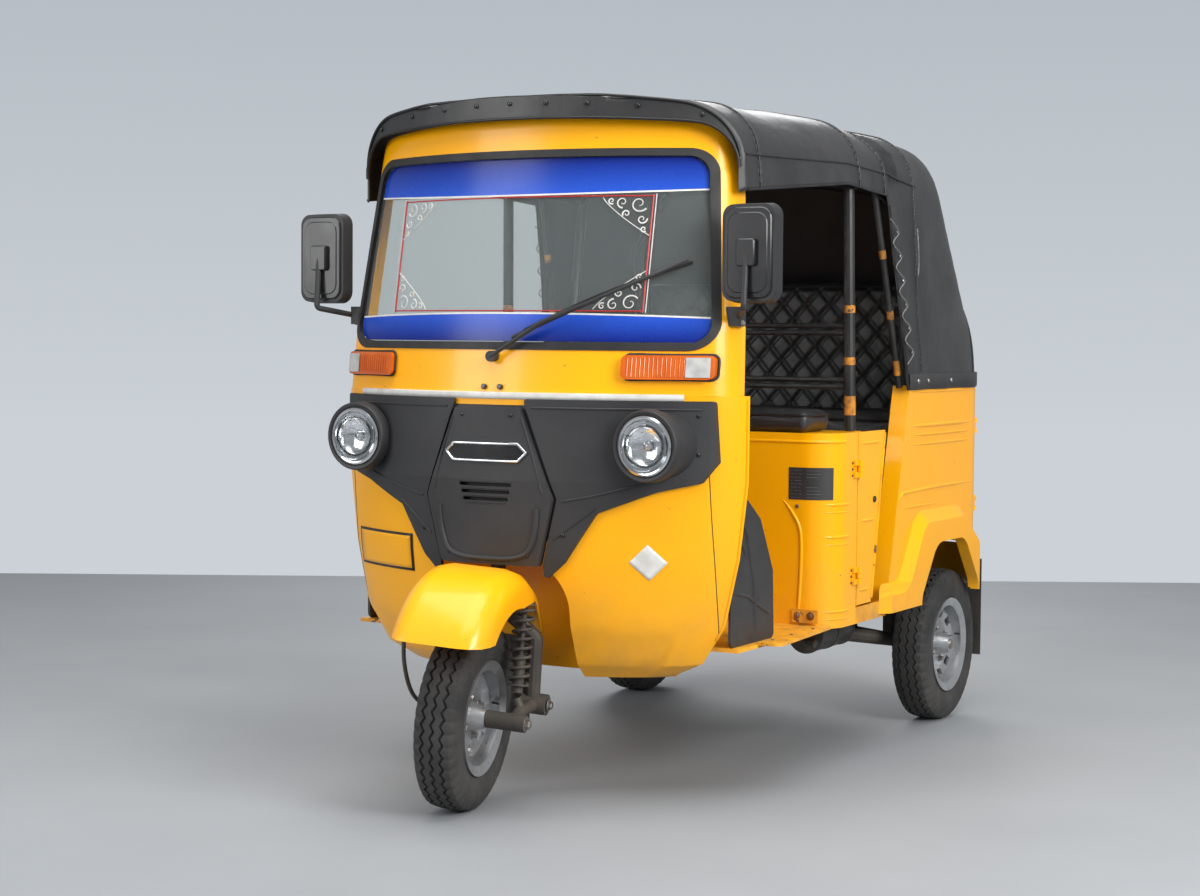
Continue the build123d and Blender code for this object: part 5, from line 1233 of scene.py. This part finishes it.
def box_corner(side, degrees, z, lift=0.0):
    turn = math.radians(degrees)
    normal = Vector((side * math.cos(turn), math.sin(turn), 0))
    return Vector((side * BOX_CORNER.x, BOX_CORNER.y, z)) + normal * (0.095 + lift), normal


box_ribs = Build()
front_line = [(Vector((x / 20 * 0.53, -0.050, 0.934)), Vector((0, -1, 0))) for x in range(-20, 21)]
left_end = [box_corner(1, d, 0.934) for d in range(-85, 1, 8)]
right_end = [box_corner(-1, d, 0.934) for d in range(0, -86, -8)]
bead(box_ribs, right_end + front_line + left_end, 0.0055, taper=False)
for side in (-1, 1):
    groove = smooth_path([(side * x, -0.050, z) for x, z in ((0.471, 0.767), (0.500, 0.733), (0.525, 0.684), (0.529, 0.599),
                                                            (0.524, 0.485), (0.520, 0.428))], 8)
    bead(box_ribs, [(point, Vector((0, -1, 0))) for point in groove], 0.0060)
    for z in (0.756, 0.664, 0.452):
        for dz, radius in ((0.0, 0.0050), (0.022, 0.0030)):
            path = [box_corner(side, d, z - dz) for d in range(-50, 1, 8)]
            path += [(Vector((side * 0.625, y, z - dz)), Vector((side, 0, 0))) for y in (0.060, 0.080)]
            bead(box_ribs, path, radius)
box_ribs.piece("box_ribs", paint, "body", "body_paint", angle=60.0)

label = Build()
label_rows = []
for r in range(3):
    z = lerp(0.770, 0.861, r / 2)
    row = [(0.489 + 0.041 * k / 4, -0.0512, z) for k in range(4)]
    row += [box_corner(1, d, z, 0.0012)[0] for d in range(-90, -34, 5)]
    label_rows.append(row)
label.grid(label_rows)
label.piece("box_label", plastic, "body", "black_plastic", angle=60.0)
label_line = Build()
for r in range(9):
    z = 0.7765 + 0.0095 * r
    for k in range(3):
        x0 = 0.494 + 0.0125 * k
        label_line.tube([(x0, -0.0516, z), (x0 + 0.0100 - 0.002 * ((r + k) % 3), -0.0516, z)], 0.0006, 4)
    if r not in (4, 5):
        label_line.tube([box_corner(1, d, z, 0.0016)[0] for d in range(-82, -60 + 3 * (r % 3), 4)], 0.0006, 4)
label_line.piece("box_label_lines", thread, "body", "black_plastic")

hardware = Build()
bracket = Build()
for side in (-1, 1):
    place = place_on((side * 0.515, -0.0502, 0.751), (0, -1, 0))
    hardware.prism([(0.006 * math.cos(TAU * k / 16), 0.006 * math.sin(TAU * k / 16)) for k in range(16)], 0.0015, place)
    box(bracket, (side * 0.545 - 0.040, -0.0555, 0.4215), (side * 0.545 + 0.040, -0.0505, 0.4600))
    bolt(hardware, (side * 0.563, -0.0556, 0.442), (0, -1, 0), 0.0075, 0.006)
    bolt(hardware, (side * 0.522, -0.0556, 0.442), (0, -1, 0), 0.0060, 0.005)
    for z in (0.545, 0.853):
        for dz in (-0.018, 0.0, 0.018):
            bolt(hardware, (side * 0.6255, 0.085, z + dz), (side, 0, 0), 0.0042, 0.003, washer=False)
    for z in (0.4212,):
        for y in (-0.42, -0.30, -0.16):
            bolt(hardware, (side * 0.617, y, z), (0, 0, 1), 0.0050, 0.0022, washer=False)
for z in (0.690, 0.945):
    for dz in (-0.017, 0.017):
        centre = Vector((0.465, 1.072, z + dz))
        normal = Vector((math.cos(math.radians(34)), math.sin(math.radians(34)), 0))
        bolt(hardware, centre + normal * 0.1665, normal, 0.0040, 0.003, washer=False)
box(bracket, (0.585, 1.135, 0.700), (0.612, 1.160, 0.716))
bracket.piece("box_brackets", paint_worn, "body", "body_paint")
hardware.piece("body_bolts", rusty, "body", "body_paint")

# seams and edge of the nose
seam = Build()
for side in (-1, 1):
    line = [(0.548, -0.697, 1.062), (0.562, -0.704, 0.938), (0.560, -0.679, 0.757), (0.562, -0.655, 0.600),
            (0.550, -0.610, 0.450)]
    points = smooth_path([(side * x, y, z) for x, y, z in line], 10)
    seam_path = []
    for point in points:
        inward = Vector((-point.x * 0.8, 0.62, 0)).normalized()
        found = cast_ray("front_shell", point - inward * 0.6, inward)
        if found:
            seam_path.append(found[0] - found[1] * 0.0004)
    seam.tube(seam_path, 0.0016, 6)
seam.piece("nose_seams", black_paint, "body", "body_paint")
nose_edge = Build()
for side in (-1, 1):
    line = laid("front_shell", [(side * 0.5, -0.6060, 0.440), (side * 0.5, -0.6060, 1.066)], (-side, 0, 0), 0.0005, 30)
    nose_edge.tube([point for point, _ in line], 0.0048, 8)
nose_edge.piece("nose_edges", paint, "body", "body_paint")

# trim strip over the seam under the windscreen, and two washers' nozzles
trim_rows = []
for k in range(91):
    turn = math.radians(lerp(-62, 62, k / 90))
    out = Vector((math.sin(turn), -math.cos(turn), 0))
    found = cast_ray("front_shell", Vector((0, -0.46, 1.066)) + out * 1.2, -out)
    point, normal = found
    normal = Vector((normal.x, normal.y, 0)).normalized()
    trim_rows.append([Vector((point.x, point.y, z)) + normal * lift for z, lift in
                      ((1.0610, 0.0004), (1.0625, 0.0036), (1.0700, 0.0046), (1.0775, 0.0036), (1.0790, -0.002),
                       (1.0792, -0.030))])
trim_build = Build()
trim_build.grid(trim_rows)
trim_build.piece("nose_trim", white_paint, "body", "body_paint", angle=60.0)
nozzle = Build()
for x in (-0.024, 0.025):
    found = cast_ray("windscreen_surround", (x, -1.4, 1.092), (0, 1, 0))
    place = place_on(found[0], found[1])
    nozzle.prism([(0.0075 * math.cos(TAU * k / 16), 0.0075 * math.sin(TAU * k / 16)) for k in range(16)], 0.010, place, 0.002)
nozzle.piece("washer_nozzles", plastic_gloss, "body", "black_plastic")

# fascia: blank badge, raised U, louvre lips and screws
badge = Build()
outline = [(-0.122, 0.0), (-0.098, 0.0225), (0.098, 0.0225), (0.122, 0.0), (0.098, -0.0225), (-0.098, -0.0225)]


def on_fascia(x, z, lift=0.0):
    found = cast_ray("fascia_centre", (x, -1.4, z), (0, 1, 0))
    return found[0] + found[1] * lift


ring = []
for (x0, z0), (x1, z1) in zip(outline, outline[1:] + outline[:1]):
    for k in range(8):
        ring.append(on_fascia(lerp(x0, x1, k / 8), 0.923 + lerp(z0, z1, k / 8), 0.0030))
badge.tube(ring, 0.0040, 8, closed=True)
badge.piece("badge_ring", chrome, "body", "black_plastic", angle=60.0)
inner = Build()
rows = []
for r in range(5):
    z = lerp(-0.0205, 0.0205, r / 4)
    half = 0.120 - 0.024 * abs(z) / 0.0225
    rows.append([on_fascia(lerp(-half, half, c / 16), 0.923 + z, 0.0022) for c in range(17)])
inner.grid(rows)
inner.piece("badge_blank", plastic_gloss, "body", "black_plastic")
shape_u = Build()
path = smooth_path([(-0.150, 0, 0.780), (-0.144, 0, 0.720), (-0.124, 0, 0.668), (-0.080, 0, 0.648), (0.0, 0, 0.644),
                    (0.080, 0, 0.648), (0.124, 0, 0.668), (0.144, 0, 0.720), (0.150, 0, 0.780)], 8)
shape_u.tube([on_fascia(p.x, p.z, 0.0005) for p in path], 0.0075, 10)
for x in (-0.165, 0.165):
    shape_u.tube([on_fascia(x * s, z, 0.0) for s, z in ((1.0, 0.820), (0.82, 0.930), (0.64, 1.015))], 0.0030, 8)
for z, half in ((0.846, 0.078), (0.828, 0.072), (0.809, 0.067), (0.791, 0.062)):
    shape_u.tube([on_fascia(lerp(-half, half, k / 12), z, 0.0004) for k in range(13)], 0.0022, 6)
shape_u.piece("fascia_relief", plastic, "body", "black_plastic")
wing = Build()
for side in (-1, 1):
    for line in ([(0.130, 1.040), (0.545, 1.040)], [(0.215, 0.800), (0.290, 0.815), (0.430, 0.852)],
                 [(0.190, 0.700), (0.235, 0.735), (0.300, 0.785)]):
        found = laid("fascia_wings", [(side * x, 0, z) for x, z in line], (0, 1, 0), steps=12)
        wing.tube([point for point, _ in found], 0.0030, 6)
wing.piece("wing_relief", plastic, "body", "black_plastic")
screws = Build()
for x, z in ((0.538, 1.025), (0.539, 0.925), (0.215, 0.712)):
    for side in (-1, 1):
        found = cast_ray("fascia_wings", (side * x, -1.4, z), (0, 1, 0))
        if found:
            screw(screws, found[0], found[1], 0.0058)
for x, z in ((-0.075, 1.020), (0.075, 1.020), (-0.120, 0.655), (0.120, 0.655)):
    found = cast_ray("fascia_centre", (x, -1.4, z), (0, 1, 0))
    screw(screws, found[0], found[1], 0.0055)
screws.piece("fascia_screws", plastic_gloss, "body", "black_plastic")


def plate(name, node, direction, corners, finish, lift, slot="body_paint", steps=10):
    """A thin blank plate laid over a node between four corners, low left first, counter-clockwise."""
    build = Build()
    rows = []
    for r in range(steps + 1):
        row = []
        for c in range(steps + 1):
            low = Vector(corners[0]).lerp(Vector(corners[1]), c / steps)
            high = Vector(corners[3]).lerp(Vector(corners[2]), c / steps)
            at = low.lerp(high, r / steps)
            found = cast_ray(node, at - Vector(direction) * 1.5, direction)
            row.append(found[0] + found[1] * lift)
        rows.append(row)
    build.grid(rows)
    made = build.piece(name, finish, "body", slot, angle=60.0)
    body_of_plate = made.modifiers.new("thick", "SOLIDIFY")
    body_of_plate.thickness = 0.0012
    body_of_plate.offset = -1.0
    return made


plate("front_plate_edge", "front_shell", (0, 1, 0), [(-0.530, 0, 0.588), (-0.272, 0, 0.588), (-0.272, 0, 0.690),
                                                     (-0.530, 0, 0.690)], black_paint, 0.0022)
plate("front_plate", "front_shell", (0, 1, 0), [(-0.522, 0, 0.595), (-0.280, 0, 0.595), (-0.280, 0, 0.683),
                                                (-0.522, 0, 0.683)], paint, 0.0036)
plate("nose_diamond", "front_shell", (0, 1, 0), [(0.417, 0, 0.598), (0.462, 0, 0.645), (0.417, 0, 0.692),
                                                 (0.372, 0, 0.645)], white_paint, 0.0016, steps=8)
rear_plate = Build()
rear_plate.prism([(x, z) for x, z in rounded_rect(0.225, 0.086, 0.006)], 0.0015, place_on((0, 1.2372, 0.490), (0, 1, 0)), 0.0004)
rear_plate.piece("rear_plate", paint, "body", "body_paint")
handle = Build()
handle.tube(smooth_path([(-0.060, 1.2325, 0.880), (-0.055, 1.262, 0.880), (0.055, 1.262, 0.880), (0.060, 1.2325, 0.880)], 6),
            0.0065, 10)
handle.prism([(0.011 * math.cos(TAU * k / 20), 0.011 * math.sin(TAU * k / 20)) for k in range(20)], 0.006,
             place_on((-0.110, 1.2322, 0.880), (0, 1, 0)), 0.001)
handle.piece("tail_handle", plastic_gloss, "tail_door", "body_paint")
latch = Build()
for z in (0.700, 0.900):
    normal = Vector((-math.cos(math.radians(50)), math.sin(math.radians(50)), 0))
    at = Vector((-0.465, 1.072, z)) + normal * 0.1602
    latch.prism(rounded_rect(0.030, 0.044, 0.004), 0.008, place_on(at, normal), 0.002)
latch.piece("tail_latches", plastic, "tail_door", "body_paint")

# ------------------------------------------------------------------ mirrors, wiper, mirror arm bolts on the pillar
backs = Build()
faces = Build()
for side in (-1, 1):
    for width, height, base, depth in ((0.132, 0.230, -0.7000, 0.006), (0.112, 0.205, -0.7055, 0.003)):
        place = place_on((side * 0.665, base, 1.440), (0, -1, 0))
        backs.prism(rounded_rect(width, height, 0.030), depth, place, 0.003)
    backs.prism(rounded_rect(0.052, 0.070, 0.008), 0.014, place_on((side * 0.665, -0.7080, 1.440), (0, -1, 0)), 0.003)
    faces.prism(rounded_rect(0.128, 0.226, 0.026), 0.0016, place_on((side * 0.665, -0.6598, 1.440), (0, 1, 0)), 0.0006)
backs.piece("mirror_backs", plastic_gloss, "body", "black_plastic")
faces.piece("mirror_faces", mirror_glass, "body", "black_plastic")
arm_bolts = Build()
for side in (-1, 1):
    for z in (1.262, 1.296):
        bolt(arm_bolts, (side * 0.6085, -0.612, z), (side, 0, 0), 0.006, 0.005)
arm_bolts.piece("mirror_bolts", bolt_steel, "body", "black_plastic")
blade = Build()
blade_path = []
for k in range(25):
    t = k / 24
    x, z = lerp(0.080, 0.490, t), lerp(1.238, 1.418, t) + 0.006 * math.sin(math.pi * t)
    found = on_glass(x, z, 0.006)
    blade_path.append(found[0])
blade.tube(blade_path, 0.0035, 6, squash=1.8)
blade.piece("wiper_rubber", rubber, "body", "black_plastic")

# bands of worn tape on the left and right door posts
tape = Build()
for side in (-1, 1):
    for low, high in ((1.005, 1.060), (1.150, 1.172), (1.300, 1.322)):
        def post(z):
            share = (z - 0.9596) / (1.700 - 0.9596)
            return Vector((side * lerp(0.582, 0.575, share), lerp(0.165, 0.148, share), z))
        tape.tube([post(low), post((low + high) / 2), post(high)], [0.0168, 0.0170, 0.0168], 20, caps=True)
    foot, top = Vector((side * 0.597, 0.506, 1.080)), Vector((side * 0.570, 0.338, 1.700))
    for low, high in ((0.06, 0.13), (0.33, 0.37), (0.62, 0.66)):
        tape.tube([foot.lerp(top, low), foot.lerp(top, high)], 0.0108, 16)
tape.piece("post_tape", orange_worn, "body", "black_paint")
collars = Build()
for side in (-1, 1):
    for z in (1.086, 1.106, 1.242, 1.262):
        share = (z - 0.9596) / (1.700 - 0.9596)
        y = lerp(0.165, 0.148, share)
        collars.tube([(side * 0.560, y, z), (side * 0.552, y, z)], 0.0098, 12)
collars.piece("rail_welds", black_paint, "body", "black_paint")

# ------------------------------------------------------------------ bars, dials and pedals
bars = Build()
levers = Build()
for side in (-1, 1):
    grip = Vector((side * 150, 85, -47)).normalized()
    end = Vector((side * 0.300, -0.505, 0.968))
    for k in range(18):
        at = end - grip * (0.008 + 0.0062 * k)
        bars.tube([parked @ at, parked @ (at - grip * 0.0036)], 0.0185, 16)
    inner_end = end - grip * 0.130
    bars.tube([parked @ inner_end, parked @ (inner_end - grip * 0.034)], 0.0205, 16)
    path = [inner_end - grip * 0.018 + Vector((0, -0.020, 0.004)), inner_end + grip * 0.004 + Vector((0, -0.052, 0.0)),
            inner_end + grip * 0.060 + Vector((0, -0.060, -0.004)), inner_end + grip * 0.128 + Vector((0, -0.046, -0.010))]
    levers.tube([parked @ p for p in smooth_path(path, 8)], 0.0052, 8)
bars.piece("bar_grips", grip_rubber, "steering", "black_paint")
levers.piece("bar_levers", bolt_steel, "steering", "black_paint")
dial = Build()
place = place_on((0, -0.6440, 1.150), (0, 1, 0.25))
dial.lathe([(0.0, 0.0), (0.0005, 0.0225)], place @ Matrix.Rotation(-math.pi / 2, 4, "Y"), 40)
dial.piece("dial_face", white_paint, "body", "black_plastic")
dial_ring = Build()
dial_ring.tube([place @ Vector((0.0235 * math.cos(TAU * k / 32), 0.0235 * math.sin(TAU * k / 32), 0.001)) for k in range(32)],
               0.0024, 8, closed=True)
for k in range(9):
    turn = math.radians(lerp(215, -35, k / 8))
    a, b = Vector((0.0185 * math.cos(turn), 0.0185 * math.sin(turn), 0.0012)), Vector((0.0215 * math.cos(turn), 0.0215 * math.sin(turn), 0.0012))
    dial_ring.tube([place @ a, place @ b], 0.0006, 4)
dial_ring.tube([place @ Vector((0, 0, 0.002)), place @ Vector((-0.012, -0.006, 0.002))], 0.0008, 5)
dial_ring.piece("dial_marks", plastic_gloss, "body", "black_plastic")
pedal = Build()
pedal.tube(smooth_path([(0.150, -0.590, 0.450), (0.150, -0.560, 0.470), (0.150, -0.520, 0.480)], 5), 0.0070, 8)
box(pedal, (0.115, -0.530, 0.482), (0.185, -0.480, 0.490), 0.002)
pedal.piece("brake_pedal", black_paint, "body", "black_paint")

# ------------------------------------------------------------------ engine, exhaust and shafts
fins = Build()
for k in range(13):
    y = 0.745 + 0.030 * k
    for side in (-1, 1):
        low_x, high_x = sorted((side * 0.168, side * 0.196))
        box(fins, (low_x, y - 0.0020, 0.285), (high_x, y + 0.0020, 0.520), 0.0005)
for k in range(7):
    z = 0.300 + 0.034 * k
    box(fins, (-0.140, 0.700, z - 0.002), (0.140, 0.722, z + 0.002), 0.0005)
    box(fins, (-0.140, 1.128, z - 0.002), (0.140, 1.148, z + 0.002), 0.0005)
fins.piece("engine_fins", cast, "body", "engine")
exhaust = Build()
exhaust.tube(smooth_path([(0.120, 0.730, 0.300), (0.220, 0.640, 0.292), (0.360, 0.530, 0.330), (0.428, 0.470, 0.350),
                          (0.430, 0.436, 0.350)], 8), 0.0145, 12)
exhaust.tube(smooth_path([(0.430, 0.224, 0.350), (0.430, 0.200, 0.345), (0.450, 0.180, 0.335), (0.480, 0.170, 0.330)], 6),
             0.0110, 12)
for y in (0.214, 0.330, 0.444):
    exhaust.tube([(0.430, y - 0.004, 0.3495), (0.430, y + 0.004, 0.3495)], 0.0572, 32)
exhaust.piece("exhaust_pipe", underside, "body", "engine")
boots = Build()
for side in (-1, 1):
    profile = []
    for k in range(11):
        profile.append((side * (0.196 + 0.007 * k), (0.034 if k % 2 else 0.026) - 0.0006 * k))
    boots.lathe(profile, Matrix.Translation(Vector((0, 0.980, 0.275 - 0.0028))), 20)
boots.piece("shaft_boots", rubber, "body", "fork_steel")

# ------------------------------------------------------------------ seats


def rounded_box(build, half, radius, step=0.009):
    """A closed box with round edges, in quads of about one size, about the origin."""
    counts = [max(4, int(round(2 * h / step))) for h in half]
    for axis in range(3):
        u, v = (axis + 1) % 3, (axis + 2) % 3
        for sign in (-1, 1):
            rows = []
            for i in range(counts[u] + 1):
                row = []
                for j in range(counts[v] + 1):
                    p = [0.0, 0.0, 0.0]
                    p[axis] = sign * half[axis]
                    p[u] = lerp(-half[u], half[u], i / counts[u])
                    p[v] = lerp(-half[v], half[v], j / counts[v])
                    core = [max(-(half[n] - radius), min(half[n] - radius, p[n])) for n in range(3)]
                    out = Vector([p[n] - core[n] for n in range(3)])
                    row.append(Vector(core) + out.normalized() * radius)
                rows.append(row)
            build.grid(rows)


def pad(name, node, centre, half, radius, cap, shape, body="body"):
    """A stuffed pad: plumped by pressure, then sewn channels cut in by shape(point, normal)."""
    build = Build()
    rounded_box(build, half, radius)
    piece = build.piece(name, seat_vinyl, body, "vinyl", angle=70.0, weld=0.0004)
    mesh = piece.data
    voxels = piece.modifiers.new("voxels", "REMESH")
    voxels.mode = "VOXEL"
    voxels.voxel_size = 0.006
    cloth = piece.modifiers.new("plump", "CLOTH")
    cloth.settings.quality = 2
    cloth.settings.use_pressure = True
    cloth.settings.uniform_pressure_force = 4.0
    cloth.settings.effector_weights.gravity = 0.0
    cloth.point_cache.frame_start = 1
    cloth.point_cache.frame_end = 20
    scene.frame_set(1)
    start = bpy.data.meshes.new_from_object(piece.evaluated_get(bpy.context.evaluated_depsgraph_get()))
    for number in range(2, 21):
        scene.frame_set(number)
    end = bpy.data.meshes.new_from_object(piece.evaluated_get(bpy.context.evaluated_depsgraph_get()))
    for first, last in zip(start.vertices, end.vertices):
        step = last.co - first.co
        if step.length > cap:
            step *= cap / step.length
        first.co = first.co + step
    piece.modifiers.clear()
    piece.data = start
    mesh = start
    scene.frame_set(1)
    mesh.update()
    normals = [vertex.normal.copy() for vertex in mesh.vertices]
    for vertex, normal in zip(mesh.vertices, normals):
        vertex.co = shape(vertex.co.copy(), normal) + Vector(centre)
    mesh.shade_smooth()
    mesh.update()
    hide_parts(node)
    return piece


def channel(distance, width, depth):
    return depth * math.exp(-(distance / width) ** 2)


def creases(point, normal, size=0.0016):
    return normal * size * noise.noise(Vector((point.x * 9, point.y * 15, point.z * 15)))


def cushion_shape(point, normal):
    moved = point + creases(point, normal, 0.0022)
    if normal.z > 0.3:
        for x in (-0.195, 0.195):
            moved.z -= channel(point.x - x, 0.007, 0.007) * normal.z
        moved.z -= channel(point.y - 0.110, 0.006, 0.004) * normal.z
        moved.z -= 0.006 * max(0.0, 1 - ((abs(point.x) - 0.28) / 0.2) ** 2) * max(0.0, 1 - (point.y / 0.16) ** 2)
    return moved


def backrest_shape(point, normal):
    moved = point + creases(point, normal, 0.0012)
    if normal.y < -0.3 and abs(point.x) < 0.500 and abs(point.z) < 0.235:
        for way in (-1, 1):
            across = (point.x + way * point.z * 0.92) / 0.086
            off = abs(across - round(across)) * 0.086 * 0.735
            moved.y += channel(off, 0.0060, 0.0065) * -normal.y
    edge = min(abs(abs(point.x) - 0.505), abs(abs(point.z) - 0.240))
    if normal.y < -0.3:
        moved.y += channel(edge, 0.005, 0.005)
    moved.y += (point.z + 0.262) * 0.055
    return moved


def bench_shape(point, normal):
    moved = point + creases(point, normal, 0.0016)
    if normal.z > 0.3:
        for x in (-0.18, 0.18):
            moved.z -= channel(point.x - x, 0.006, 0.004)
        moved.z -= 0.004 * max(0.0, 1 - (point.x / 0.17) ** 2) * max(0.0, 1 - (point.y / 0.07) ** 2)
    return moved


pad("passenger_cushion_pad", "passenger_cushion", (0, 0.7325, 0.9440), (0.577, 0.189, 0.0530), 0.034, 0.008,
    cushion_shape)
pad("backrest_pad", "passenger_backrest", (0, 0.9740, 1.1530), (0.528, 0.0350, 0.2600), 0.026, 0.005,
    backrest_shape)
pad("driver_seat_pad", "driver_seat", (0, 0.0400, 0.9895), (0.541, 0.0870, 0.0280), 0.020, 0.005, bench_shape)
seat_piping = Build()
for half_x, half_y, corner, at in ((0.574, 0.186, 0.036, (0, 0.7325, 0.9790)), (0.539, 0.085, 0.026, (0, 0.0400, 1.0080))):
    ring = [Vector((x, y, 0)) + Vector(at) for x, y in rounded_rect(2 * half_x, 2 * half_y, corner, 6)]
    seat_piping.tube(ring, 0.0036, 8, closed=True)
seat_piping.piece("seat_piping", piping, "body", "vinyl")

# ------------------------------------------------------------------ smooth panels, backing and liner


def smooth_panel(name, node, finish, body, slot, angle):
    """A pressed panel's own shape with its facets shaded as one curve."""
    build = Build()
    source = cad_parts[node].data
    corners = [build.mesh.verts.new(vertex.co) for vertex in source.vertices]
    for face in source.polygons:
        if len(set(face.vertices)) > 2:
            build.mesh.faces.new([corners[i] for i in face.vertices])
    made = build.piece(name, finish, body, slot, angle=angle)
    normals = made.modifiers.new("normals", "WEIGHTED_NORMAL")
    normals.keep_sharp = True
    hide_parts(node)
    return made


smooth_panel("mudguard_panel", "front_mudguard", paint, "steering", "body_paint", 42.0)
smooth_panel("nose_panel", "front_shell", paint, "body", "body_paint", 34.0)
backing = Build()
rows = []
for r in range(23):
    z = lerp(0.655, 1.046, r / 22)
    half = 0.150 if z < 0.70 else 0.205
    row = []
    for c in range(25):
        found = cast_ray("front_shell", (lerp(-half, half, c / 24), -1.4, z), (0, 1, 0))
        if found and found[0].y < -0.60:
            row.append(found[0] + found[1] * 0.0008)
        else:
            row.append(row[-1] if row else Vector((-half, -0.80, z)))
    rows.append(row)
backing.grid(rows)
backing.piece("fascia_backing", plastic, "body", "black_plastic", angle=60.0)
liner = Build()
for side in (-1, 1):
    for line, radius in (([(-0.560, 0.780), (-0.500, 0.700), (-0.455, 0.560), (-0.445, 0.440)], 0.0080),
                         ([(-0.590, 0.560), (-0.500, 0.545), (-0.400, 0.500), (-0.345, 0.480)], 0.0070),
                         ([(-0.590, 0.700), (-0.540, 0.690), (-0.500, 0.640)], 0.0055)):
        found = laid("footwell_guards", [(side * 0.6, y, z) for y, z in line], (-side, 0, 0), steps=10)
        if len(found) > 2:
            bead(liner, found, radius)
liner.piece("guard_creases", plastic, "body", "black_plastic", angle=60.0)
